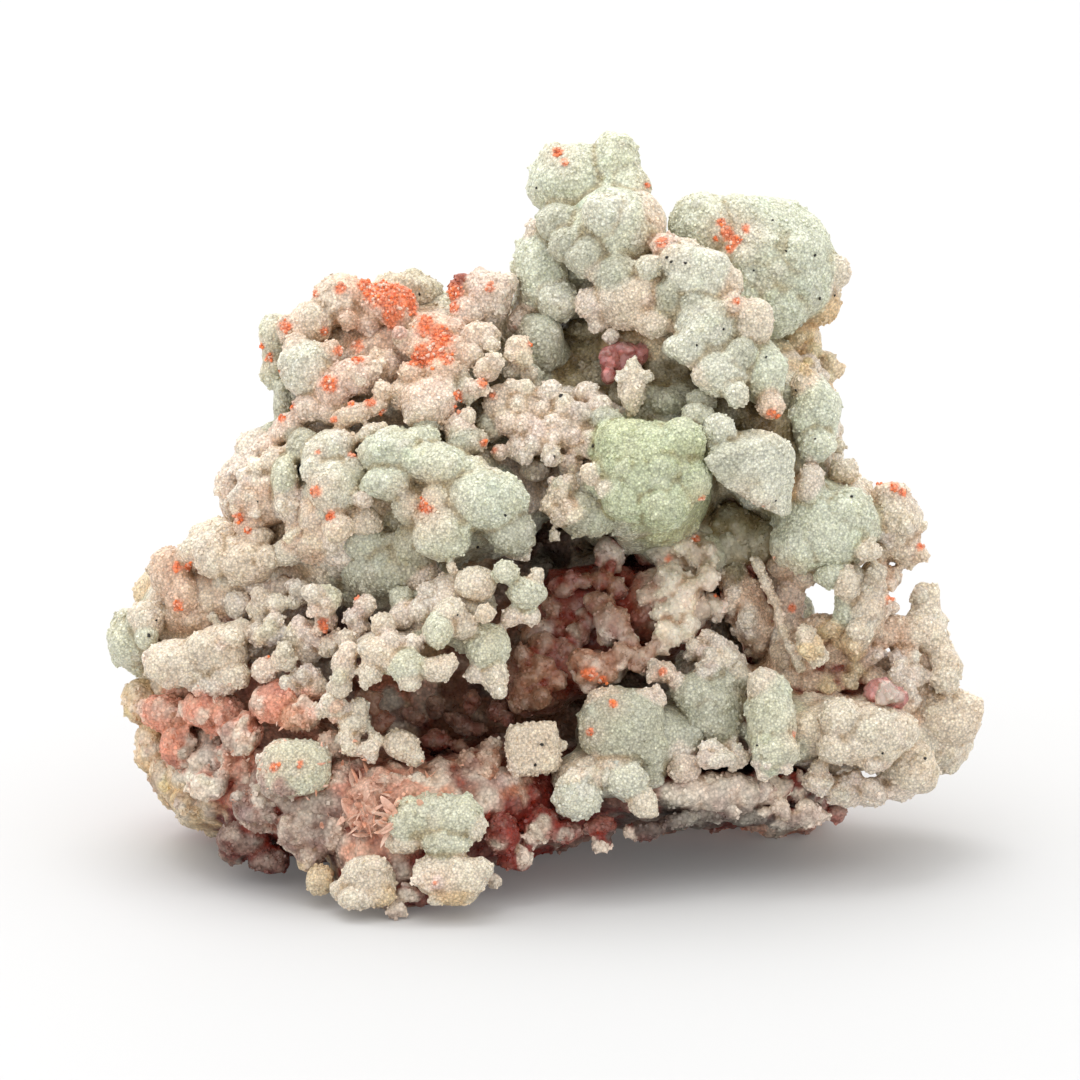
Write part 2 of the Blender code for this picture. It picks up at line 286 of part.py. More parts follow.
# Hollows, cut before the lumps grow back over their edges: (across, up, depth, half sizes three ways)
HOLLOWS_OF_CLUSTER = (
    (1.6, 29.4, 7.0, 4.0, 4.6, 10.0), (5.6, 43.4, 9.0, 4.0, 3.0, 5.2), (2.0, 44.6, 7.4, 3.2, 3.0, 4.6),
    (-10.0, 18.0, 9.0, 8.4, 4.2, 11.0), (6.4, 23.4, 12.0, 11.0, 6.8, 9.0), (15.6, 24.6, 6.0, 2.8, 5.0, 8.0),
    (-12.2, 43.2, 7.6, 1.2, 2.4, 3.0),
)
HOLLOWS_OF_MATRIX = (
    (-8.6, 15.4, 9.0, 7.0, 3.4, 13.0), (10.0, 1.7, 3.0, 12.4, 4.4, 12.0), (1.6, 29.0, 0.0, 4.0, 4.4, 7.0),
)


def face_to_world(across, up, out):
    """A place on the leaning display face, in table units, as a point in metres with Z up."""
    tilt = math.radians(FACE_TILT_DEG)
    depth = up * math.sin(tilt) - out * math.cos(tilt)
    height = up * math.cos(tilt) + out * math.sin(tilt)
    return (Vector((across, depth, height)) + SHIFT) * UNIT


def add_lump(bm, middle, half, back_stretch, turn=0.0, square=ROUND):
    """An icosphere pushed out to a rounded block, longer on the side that runs back into the mass."""
    fineness = FINE_BALL if min(half) > BIG_LUMP else COARSE_BALL
    ball = bmesh.ops.create_icosphere(bm, subdivisions=fineness, radius=1.0)
    turn_cos = math.cos(math.radians(turn))
    turn_sin = math.sin(math.radians(turn))
    for vert in ball["verts"]:
        spread = sum(abs(value) ** square for value in vert.co) ** (1.0 / square)
        across, up, out = vert.co / spread
        across *= half[0]
        up *= half[1]
        out *= half[2] if out > 0.0 else half[2] * back_stretch
        vert.co = face_to_world(
            middle[0] + across * turn_cos - up * turn_sin,
            middle[1] + across * turn_sin + up * turn_cos,
            middle[2] + out,
        )


def add_front_lumps(bm, tables):
    """Lumps placed by their nearest point to the viewer."""
    for table in tables:
        for row in table:
            across, up, front, half_width = row[:4]
            half_height = row[4] if len(row) > 4 else half_width
            turn = row[5] if len(row) > 5 else 0.0
            square = row[6] if len(row) > 6 else ROUND
            half_depth = math.sqrt(half_width * half_height)
            middle = (across, up, front - half_depth)
            add_lump(bm, middle, (half_width, half_height, half_depth), BACK_STRETCH, turn, square)


def add_back_lumps(bm, table):
    """Lumps placed by their farthest point from the viewer."""
    for across, up, back, half_width, half_height in table:
        half_depth = math.sqrt(half_width * half_height)
        add_lump(bm, (across, up, back + half_depth), (half_width, half_height, half_depth), 1.0)


def add_bulk(bm, table):
    """Plain ellipsoids, for the bulk under the lumps and for the hollows cut in it."""
    for across, up, out, half_width, half_height, half_depth in table:
        add_lump(bm, (across, up, out), (half_width, half_height, half_depth), 1.0)


def new_object(name, bm, collection):
    """Moves a bmesh into a new named object."""
    mesh = bpy.data.meshes.new(name)
    bm.to_mesh(mesh)
    bm.free()
    obj = bpy.data.objects.new(name, mesh)
    collection.objects.link(obj)
    return obj


def make_cutter(obj):
    """Marks an object as a guide that only cuts others."""
    obj.hide_render = True
    obj.display_type = "WIRE"
    return obj


def settle(obj):
    """Replaces an object's mesh with the result of its modifiers."""
    graph = bpy.context.evaluated_depsgraph_get()
    mesh = bpy.data.meshes.new_from_object(obj.evaluated_get(graph))
    obj.modifiers.clear()
    old = obj.data
    obj.data = mesh
    bpy.data.meshes.remove(old)


def fuse(obj, voxel=VOXEL):
    """Fuses overlapping bodies into one skin."""
    remesh = obj.modifiers.new("fuse", "REMESH")
    remesh.mode = "VOXEL"
    remesh.voxel_size = voxel
    settle(obj)


def thin_out(obj, faces):
    """Thins a mesh to about the given number of triangles, keeping its lumps."""
    decimate = obj.modifiers.new("thin", "DECIMATE")
    decimate.decimate_type = "COLLAPSE"
    decimate.ratio = faces / sum(len(face.vertices) - 2 for face in obj.data.polygons)
    decimate.use_collapse_triangulate = True
    settle(obj)


def cut(obj, cutter, solver="EXACT"):
    """Cuts one object out of another."""
    boolean = obj.modifiers.new("cut", "BOOLEAN")
    boolean.operation = "DIFFERENCE"
    boolean.solver = solver
    boolean.object = cutter
    settle(obj)


def island(start):
    """All vertices joined to one vertex by edges."""
    found = {start}
    waiting = [start]
    while waiting:
        for edge in waiting.pop().link_edges:
            for vert in edge.verts:
                if vert not in found:
                    found.add(vert)
                    waiting.append(vert)
    return found


def keep_largest_body(obj):
    """Deletes chips that a cut left loose, so the object is one body."""
    bm = bmesh.new()
    bm.from_mesh(obj.data)
    bmesh.ops.remove_doubles(bm, verts=bm.verts, dist=MERGE)
    bmesh.ops.dissolve_degenerate(bm, edges=bm.edges, dist=SLIVER)
    bmesh.ops.triangulate(bm, faces=bm.faces)
    left = set(bm.verts)
    bodies = []
    while left:
        body = island(next(iter(left)))
        bodies.append(body)
        left -= body
    bodies.sort(key=len)
    for body in bodies[:-1]:
        bmesh.ops.delete(bm, geom=list(body), context="VERTS")
    bm.to_mesh(obj.data)
    bm.free()


def grown_copy(obj, cutters):
    """A cutter one gap larger all round than a finished neighbour."""
    cutter = bpy.data.objects.new(obj.name + "_clearance", obj.data.copy())
    cutters.objects.link(cutter)
    displace = cutter.modifiers.new("gap", "DISPLACE")
    displace.strength = GAP
    displace.mid_level = 0.0
    return make_cutter(cutter)


def floor_cutter(cutters):
    """A block whose top is the floor, which cuts the feet flat."""
    bpy.ops.mesh.primitive_cube_add(size=FLOOR_BLOCK, location=(0.0, 0.0, -FLOOR_BLOCK / 2.0))
    block = bpy.context.active_object
    block.name = "floor_block"
    for collection in list(block.users_collection):
        collection.objects.unlink(block)
    cutters.objects.link(block)
    return make_cutter(block)


def grow_solid(name, parts, cutters, tables, back=(), bulk=(), hollows=()):
    """Builds one solid: bulk, less its hollows, with the lumps grown over it, fused and thinned."""
    bm = bmesh.new()
    add_bulk(bm, bulk)
    add_back_lumps(bm, back)
    if hollows:
        core = new_object(name, bm, parts)
        fuse(core)
        hollow_bm = bmesh.new()
        add_bulk(hollow_bm, hollows)
        hollow = make_cutter(new_object(name + "_hollows", hollow_bm, cutters))
        fuse(hollow)
        cut(core, hollow)
        bm = bmesh.new()
        bm.from_mesh(core.data)
        bpy.data.objects.remove(core)
    add_front_lumps(bm, tables)
    solid = new_object(name, bm, parts)
    fuse(solid)
    thin_out(solid, FACES[name])
    keep_largest_body(solid)
    return solid


def material(name, colour, roughness):
    """A plain finish: colour and roughness, not metallic."""
    finish = bpy.data.materials.new(name)
    finish.use_nodes = True
    shader = finish.node_tree.nodes["Principled BSDF"]
    shader.inputs["Base Color"].default_value = (*colour, 1.0)
    shader.inputs["Roughness"].default_value = roughness
    shader.inputs["Metallic"].default_value = 0.0
    return finish


def main():
    """Builds every solid, cuts the fits between them and the flat feet, and gives each its finish."""
    for obj in list(bpy.data.objects):
        bpy.data.objects.remove(obj)
    parts = bpy.data.collections.new("boracite_with_hilgardite")
    cutters = bpy.data.collections.new("cutters")
    bpy.context.scene.collection.children.link(parts)
    bpy.context.scene.collection.children.link(cutters)
    floor = floor_cutter(cutters)

    knobs = grow_solid("boracite_front_knobs", parts, cutters, (FRONT_KNOBS,))
    block = grow_solid("boracite_left_block", parts, cutters, (LEFT_BLOCK,))
    cube = grow_solid("boracite_cube", parts, cutters, (CUBE,))
    rose = grow_solid("hilgardite_crystals", parts, cutters, (HILGARDITE,))
    rose_right = grow_solid("hilgardite_right", parts, cutters, (HILGARDITE_RIGHT,))
    matrix = grow_solid(
        "matrix", parts, cutters, (MATRIX, BEAD_ROW, CAVE_BEADS), BACK_OF_MATRIX, BULK_OF_MATRIX, HOLLOWS_OF_MATRIX
    )
    cluster = grow_solid(
        "boracite_cluster", parts, cutters,
        (CROWN, EGG, RIGHT_COLUMN, RIGHT_WING, LOWER_RIGHT, CENTRE, LEFT_SHOULDER, LEFT_MIDDLE, CHAIN, FAR_LEFT),
        BACK_OF_CLUSTER, BULK_OF_CLUSTER, HOLLOWS_OF_CLUSTER,
    )
    druse = grow_solid("cavity_druse", parts, cutters, (DRUSE,), (), BULK_OF_DRUSE)

    for solid in (knobs, matrix):
        cut(solid, floor)
    for solid, neighbours in (
        (block, (cube,)),
        (matrix, (knobs, block, cube)),
        (cluster, (matrix, knobs, block, cube, rose, rose_right)),
        (druse, (matrix, cluster, cube, block)),
    ):
        for neighbour in neighbours:
            # EXACT leaves edges with four faces where two lumpy skins graze, and MANIFOLD doesn't
            cut(solid, grown_copy(neighbour, cutters), solver="MANIFOLD")
        keep_largest_body(solid)

    boracite = material("boracite", (0.62, 0.66, 0.52), 0.5)
    rock = material("matrix_rock", (0.36, 0.17, 0.12), 0.8)
    rose_glass = material("hilgardite", (0.48, 0.14, 0.15), 0.25)
    rusty = material("rusty_druse", (0.42, 0.20, 0.12), 0.6)
    for solid, finish in (
        (matrix, rock), (cluster, boracite), (knobs, boracite), (block, boracite), (cube, boracite),
        (rose, rose_glass), (rose_right, rose_glass), (druse, rusty),
    ):
        solid.data.materials.clear()
        solid.data.materials.append(finish)


main()
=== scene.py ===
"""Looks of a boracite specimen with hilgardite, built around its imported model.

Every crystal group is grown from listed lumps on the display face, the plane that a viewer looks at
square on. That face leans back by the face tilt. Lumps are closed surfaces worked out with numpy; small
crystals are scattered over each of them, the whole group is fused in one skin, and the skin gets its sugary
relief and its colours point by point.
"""

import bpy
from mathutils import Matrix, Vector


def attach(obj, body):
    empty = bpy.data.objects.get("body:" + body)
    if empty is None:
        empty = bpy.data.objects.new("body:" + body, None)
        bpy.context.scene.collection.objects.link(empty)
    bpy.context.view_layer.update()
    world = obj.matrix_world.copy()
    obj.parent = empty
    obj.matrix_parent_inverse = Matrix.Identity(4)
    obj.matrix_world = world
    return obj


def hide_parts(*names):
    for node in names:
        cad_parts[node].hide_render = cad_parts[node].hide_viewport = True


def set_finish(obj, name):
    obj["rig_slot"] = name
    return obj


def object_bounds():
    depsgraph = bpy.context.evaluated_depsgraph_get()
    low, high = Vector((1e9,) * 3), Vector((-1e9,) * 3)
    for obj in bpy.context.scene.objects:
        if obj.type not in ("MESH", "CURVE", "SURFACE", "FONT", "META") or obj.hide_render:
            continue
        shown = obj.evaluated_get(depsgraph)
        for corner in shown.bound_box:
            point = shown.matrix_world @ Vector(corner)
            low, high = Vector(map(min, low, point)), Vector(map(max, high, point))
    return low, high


bl_info = {
    "name": "Boracite specimen",
    "version": (1, 0, 0),
    "blender": (4, 5, 0),
    "location": "3D View > Sidebar > Specimen",
    "description": "Grows a boracite and hilgardite specimen on its matrix, piece by piece",
    "category": "Add Mesh",
}

import functools
import math
import typing

import bpy
import numpy as np
from mathutils import Vector

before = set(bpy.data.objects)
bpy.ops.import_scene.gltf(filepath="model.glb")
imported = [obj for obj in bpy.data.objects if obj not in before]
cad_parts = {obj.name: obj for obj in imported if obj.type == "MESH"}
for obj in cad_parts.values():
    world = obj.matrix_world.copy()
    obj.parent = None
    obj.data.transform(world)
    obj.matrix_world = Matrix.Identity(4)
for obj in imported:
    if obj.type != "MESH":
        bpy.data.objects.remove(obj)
CAD_LOW, CAD_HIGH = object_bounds()

MM = 0.001
BODY = "root"

# The lump tables span this many units, and their zero lies this far from the middle of the footprint
TABLE_WIDTH = 70.5
SHIFT = np.array((0.18, -5.35, -4.1))

# Lumps of the display face reach this much farther back than they stand out
BACK_STRETCH = 1.7

# Squareness of a pebble. A lump above it is a block, and one below it a crisp crystal
ROUND = 2.0
CRISP = 1.0

# Stands for a place on the face that no lump covers
EMPTY = -99.0

# Lumps of the display face: (tint, across, up, front, half width, half height, turn in degrees, squareness)
# A missing half height equals the half width. Squareness 2 is a ball, 6 is a cube with soft corners.
CROWN = (
    ("green", 2.2, 58.2, 4, 3.8, 3.5), ("green", 5.4, 59.6, 3.6, 2.2, 2.9), ("green", -0.3, 57.6, 2.4, 1.3),
    ("green", 6.2, 57.8, 4.2, 2.2), ("green", 0.6, 60.2, 2.6, 1.5), ("green", 5.4, 54.3, 8, 3.8, 3.7),
    ("white", 4.4, 55.6, 8.7, 1.9), ("sage", 3.2, 52.3, 8.4, 1.9), ("cream", 4.1, 51.1, 8.3, 1.1),
    ("cream", 7.6, 55.2, 6.8, 1.9, 2.4), ("sage", 0.9, 55.1, 6, 1.9, 1.7), ("rose", -1.1, 54.7, 3.6, 0.9),
    ("green", -0.3, 51.4, 5, 2.6, 3.9), ("white", 0.8, 48.8, 6, 1.9), ("green", -1.6, 52.4, 4, 1.3),
    ("sage", 1.6, 53.3, 7.6, 1.6), ("cream", 6.8, 49.2, 9.6, 3.1, 2.9), ("rose", 3.4, 48.5, 8.2, 1.5),
    ("rose", 3.8, 46.9, 7.4, 0.8), ("cream", 8.5, 47, 10, 1.7, 1.3), ("sage", 5.6, 50.8, 9.3, 1.9),
    ("white", 8, 51.5, 10, 1.2), ("rose", 9.4, 53.3, 8.8, 1.5, 1.1),
    ("white", 12, 50.9, 10.6, 2.7, 2.3, -8, 4), ("white", 10.4, 51.9, 10.2, 1.5),
    ("cream", 11, 53.1, 8.6, 1.3, 0.9), ("cream", 14.7, 50.3, 10, 1, 1.2, 0, 3), ("sage", 9.9, 49, 10.2, 1.7),
    ("sage", 11.9, 48.3, 10.9, 1.6), ("white", 12.7, 46.8, 11.6, 2.9, 3), ("white", 9.9, 45.1, 11, 0.95),
    ("white", 11.4, 44.9, 12, 1.6), ("cream", 14.7, 48.5, 11, 1),
    ("cream", 16.4, 47.2, 11.2, 1.75, 2, 0, 2.6), ("white", 13.6, 43, 12.4, 2.3, 2),
    ("white", 15, 41.3, 12.8, 1.1, 1.1, 15, 3), ("cream", 12.2, 42.8, 12, 1),
    ("green", 17.3, 42.9, 11.2, 1.9, 2.7), ("cream", 17.8, 40.4, 11.6, 1.3), ("sage", 15.3, 44.5, 12, 1.4),
    ("sage", -1.5, 48.3, 3, 1.6, 2.2), ("rose", -2.2, 47.2, 4, 1.2),
)

EGG = (
    ("green", 16.7, 51.9, 4.9, 7.2, 4.8, -24), ("green", 12.9, 54.7, 4.2, 3.2, 2.9),
    ("green", 15.2, 55.2, 3.8, 2.4, 2.3), ("green", 19.6, 52.6, 4, 2.8, 2.6),
    ("cream", 23, 51.2, 2, 1.5, 1.75), ("tan", 21.9, 48.7, 1.4, 1.7, 1.9), ("green", 18.3, 48.4, 4.4, 2.6),
    ("green", 16, 49.6, 4.6, 2.2), ("tan", 19.9, 46.4, 0.6, 1.9, 2.1), ("tan", 22.1, 43.9, 0, 1.35, 1.3),
    ("tan", 22.5, 42.8, 0.2, 0.75), ("rose", 20.8, 43.6, 2, 1.2), ("tan", 20.3, 44.8, 0.6, 1.3),
)

RIGHT_COLUMN = (
    ("green", 21.1, 39.8, 8.2, 2.1, 3.5), ("green", 22.5, 40.3, 6.4, 1.15, 1.6),
    ("cream", 20.6, 42.2, 7.6, 1.5), ("green", 21.3, 37.4, 8.5, 1.6), ("cream", 23.2, 37.2, 4.4, 0.7),
    ("cream", 23.7, 35.2, 5.4, 1.45, 1.3), ("rose", 20.9, 34.2, 9, 1.15, 1.7, -12, 3),
    ("tan", 19.5, 33.6, 8.2, 1.3), ("white", 16.7, 35.6, 14, 3.1, 3.6, 20, 1),
    ("white", 17, 33.6, 13.6, 1.5, 1.3), ("white", 13.5, 38.5, 13.4, 1.6), ("sage", 14.3, 36.2, 14.2, 1.5),
    ("green", 22.2, 30.7, 9.4, 4, 3.7), ("green", 24, 31.8, 9, 2.3), ("green", 20, 29.4, 9, 2.4),
    ("cream", 25.5, 28.8, 9.2, 1.25, 0.95), ("wood", 26.2, 26.9, 5, 1.5, 1.5),
    ("cream", 23.8, 26.4, 9, 1.2, 1.5), ("cream", 27.6, 31.1, 5.4, 2.4, 3.3),
    ("cream", 27.4, 33.4, 5, 1.7, 1.2), ("cream", 29, 31.4, 4.6, 1.1, 1.5),
    ("cream", 28.8, 28.9, 4.6, 1.3, 1.5), ("rose", 27.6, 26.8, 4, 0.85, 1),
    ("cream", 25.9, 26.4, 7.2, 1.1, 1.2), ("cream", 25.6, 24.4, 7.8, 1.2, 1.6),
    ("cream", 24.7, 22.6, 8.4, 1.15, 1), ("rose", 27.3, 24.4, 5, 0.75),
)

RIGHT_WING = (
    ("rose", 19.4, 25.4, 4.4, 1.4, 2.4), ("rose", 19.2, 23.2, 4.6, 1.4), ("wood", 18.6, 27.6, 5, 1.4, 1),
    ("wood", 15.9, 24.4, 5, 1.8, 4.6, 20), ("olive", 14.9, 26.6, 4.6, 1.5, 2),
    ("cream", 16.8, 27.7, 6.2, 0.55, 0.95, 25), ("blush", 17.4, 26.3, 6.4, 0.5, 0.95, 18),
    ("cream", 18, 25, 6.6, 0.5, 0.95, 22), ("blush", 18.4, 23.7, 6.8, 0.55, 0.9, 10),
    ("cream", 18.8, 22.4, 7, 0.5, 0.95, 22), ("blush", 19.4, 21.1, 7.4, 0.55, 0.9, 28),
    ("cream", 20, 19.9, 7.8, 0.6, 0.9, 30), ("cream", 25.4, 24.8, 7.4, 1.5, 2.6, -22),
    ("green", 22.6, 27, 8.6, 1.6, 1.2), ("cream", 23.9, 25.9, 8.2, 0.9, 1),
    ("wood", 21.9, 22.8, 5.8, 1.9, 1.3), ("wood", 24, 22.2, 5.6, 1.5, 1.4),
    ("wood", 22.7, 20.8, 5.4, 1.9, 1.7), ("wood", 25.2, 20.6, 5.2, 1.1, 1.5), ("wood", 26.8, 22, 5, 1.2, 0.9),
    ("wood", 21, 18.2, 6, 2.2, 1.5), ("wood", 27.4, 22.9, 4.6, 1.3, 1.3), ("rose", 28.7, 18.9, 4.8, 1.7, 1.3),
    ("cream", 29.6, 22.6, 4.6, 1.9, 1.6), ("cream", 20.6, 21.8, 9.4, 1, 1.5, 20),
    ("cream", 21.4, 20.6, 9.8, 1, 1.2), ("wood", 22, 22.9, 6, 1.2, 0.9), ("wood", 24, 20.3, 5, 1.8, 1.3),
    ("wood", 25.7, 18.9, 4.4, 1.6, 1), ("wood", 26.4, 22.2, 5, 1, 0.9), ("wood", 28.5, 20.3, 4.4, 1.3, 1.6),
    ("cream", 29.8, 25.1, 2.8, 0.9), ("cream", 30, 23.4, 2.8, 1), ("cream", 28.6, 22.3, 3.6, 1.1, 0.8),
    ("cream", 30.5, 22, 4.2, 1.8, 1.7), ("cream", 31.5, 20.4, 4.4, 1.3, 1.4), ("cream", 31.7, 18.6, 4.8, 1.3),
    ("wood", 29, 18.1, 3.4, 1.9, 1.6), ("cream", 31.9, 15.4, 4.2, 2.9, 2.7),
    ("cream", 33.1, 16.4, 3.8, 2.1, 1.3), ("cream", 33.9, 16.2, 3.4, 1.5, 0.9),
    ("rust", 22.4, 18.6, 5.2, 2.4, 1.3), ("wood", 19.6, 18.6, 6, 1.6, 1.6), ("wood", 27, 16.6, 5.2, 2.6, 1.8),
    ("green", 23.8, 24.6, 7, 1.1, 2.1), ("cream", 24.3, 26.9, 7.4, 1.1), ("wood", 28.4, 22.4, 4.4, 1.7, 1.5),
    ("wood", 20.3, 20.6, 6.6, 1.4, 1.8), ("blush", 20.6, 26.9, 5, 1.2, 1),
)

LOWER_RIGHT = (
    ("cream", 25.2, 14.4, 11.6, 4.2, 2.8), ("cream", 23.2, 15.7, 11.8, 1.8),
    ("cream", 27.8, 14.7, 10.8, 1.9, 1.6), ("cream", 22.8, 13.2, 11.6, 1.8, 1.5),
    ("cream", 28.9, 11.7, 7.6, 2.4, 2.3), ("cream", 29.7, 10.9, 6.8, 1.5), ("rose", 28.1, 10, 7, 1.5, 1.2),
    ("rose", 23.6, 9.8, 8.2, 2.1, 1.4), ("rose", 21.4, 10.6, 9.4, 1.4, 1.1),
    ("rose", 25.6, 9.7, 7.8, 1.5, 1.4), ("pale", 17.8, 15.6, 13.2, 2.2, 3.9), ("pale", 18, 13, 13.8, 2, 1.9),
    ("cream", 17.2, 18.2, 12.4, 1.7, 1.7), ("sage", 12.9, 16.3, 11.4, 3, 3.5),
    ("sage", 11.6, 17.6, 11.6, 1.8), ("rose", 13.7, 20.4, 9, 1.8, 1.7), ("rose", 12.2, 21.2, 8.2, 1.2),
    ("rose", 10.7, 11.8, 12, 1.35, 1.7), ("rose", 13.2, 12.6, 12.4, 1.2), ("rose", 14.9, 12.4, 11, 1.2, 0.9),
    ("sage", 5.9, 15, 14.6, 3.6, 3.2, 0, 2.5), ("sage", 8.2, 13.4, 14.2, 1.6),
    ("cream", 4.8, 17, 13.4, 2, 1.2), ("rose", 8.4, 17.3, 12.4, 1.2, 0.9),
    ("white", 2.3, 9.3, 15.2, 2.2, 1.85), ("cream", 3.2, 10.9, 14.4, 1.6, 1.1),
    ("white", 6.3, 10.7, 15, 1.9, 1.6), ("cream", 7.6, 8.9, 14.8, 1.35, 1.5),
    ("cream", 5.4, 12.1, 14, 1.8, 1), ("rose", 9.2, 19.3, 10.6, 1.2, 1),
)

CENTRE = (
    ("lime", 7.8, 35.4, 16, 4.6, 3.9), ("lime", 9.2, 32.5, 16, 2.3, 2.2), ("lime", 6.2, 33.2, 15.8, 2.2),
    ("lime", 11.3, 34.6, 15.2, 1.9, 2), ("lime", 5.9, 37.4, 15, 2.3, 2.1),
    ("lime", 10.4, 37.4, 15.2, 2.3, 2.1), ("cream", 3.4, 35, 15, 1, 1.1), ("cream", 4.6, 33.8, 15.3, 0.9),
    ("sage", 4.6, 39.2, 12.4, 1.5, 1.2), ("sage", 11.9, 39.5, 12.4, 1.5, 1.3),
    ("sage", 3.2, 31.8, 13.4, 2.7, 2), ("cream", 0.9, 33.4, 13, 1.1, 1.4), ("cream", 0.1, 32.5, 12.6, 0.8),
    ("cream", 0.8, 31.4, 12.8, 0.65), ("cream", 0.55, 30.1, 12.4, 0.55),
    ("cream", 6.7, 41.4, 11.4, 1.15, 1.8), ("cream", 6.8, 43.4, 10.8, 0.75, 1), ("cream", 7.8, 42.8, 11, 0.6),
    ("cream", 5.9, 42.7, 10.8, 0.55), ("olive", 1.7, 44.2, 2.6, 3.3), ("olive", 9.3, 43, 3.4, 2.6),
    ("sage", 9.4, 40.7, 8.6, 1.9, 1.4), ("sage", 12.2, 40.9, 10.4, 1.4, 1.2), ("tan", 6.6, 45.6, 6.2, 2, 1.2),
    ("rose", 5.1, 46, 7.6, 0.75), ("rose", 3.1, 41.5, 9.6, 1.3, 1.1), ("rose", 2, 38.3, 12.2, 1.9, 2.1),
    ("rose", -1.2, 39.9, 11.2, 2, 2.2), ("cream", 0.35, 36.4, 13, 0.9, 1), ("rose", 0.2, 41.6, 11.4, 1, 1.1),
    ("rose", -2.1, 37.3, 11.6, 1.2), ("rose", -2.3, 36.6, 11.4, 0.8), ("cream", 1.4, 40.4, 11.8, 1),
    ("cream", -3.7, 40.6, 10.8, 1.5, 1.7), ("rose", -3.8, 36.7, 11.2, 0.7, 0.8),
    ("cream", -4.8, 43.3, 11.2, 1.25, 1.2), ("cream", -2.35, 45, 9.8, 1.1, 1.2, 0, 2.6),
    ("cream", -5.4, 45.8, 9.2, 1.9, 1.5), ("sage", -0.6, 45.6, 6.2, 2.2, 2.4),
    ("sage", -2, 42.9, 8, 1.8, 1.2), ("rose", -1, 35.3, 9.4, 1.4, 1), ("rose", 1.9, 35.6, 11.6, 1.2, 1),
    ("sage", -4.6, 38.8, 10.6, 1.4), ("rose", -3.2, 39.2, 11.4, 1.2), ("cream", -0.6, 37.6, 11.8, 1.2),
    ("cream", 0.6, 39, 12, 1.1), ("rose", 3.6, 37.2, 12.6, 1.3), ("rose", 4.2, 40.2, 11, 1.3),
    ("cream", -2.6, 41.4, 10.6, 1.2), ("rose", 1.6, 33.9, 12.6, 1), ("olive", -0.4, 43.8, 4.4, 2.8, 2.6),
    ("olive", 3.8, 42.2, 5.4, 2.4, 2.2), ("olive", 11.2, 42.2, 6, 2.4, 2.6),
    ("olive", 4.6, 46.6, 4, 3.4, 1.6), ("olive", 7.4, 41, 8, 3, 2), ("olive", 17, 38.6, 8, 3, 2.6),
    ("olive", 14.6, 40, 8, 2.2, 1.8),
)

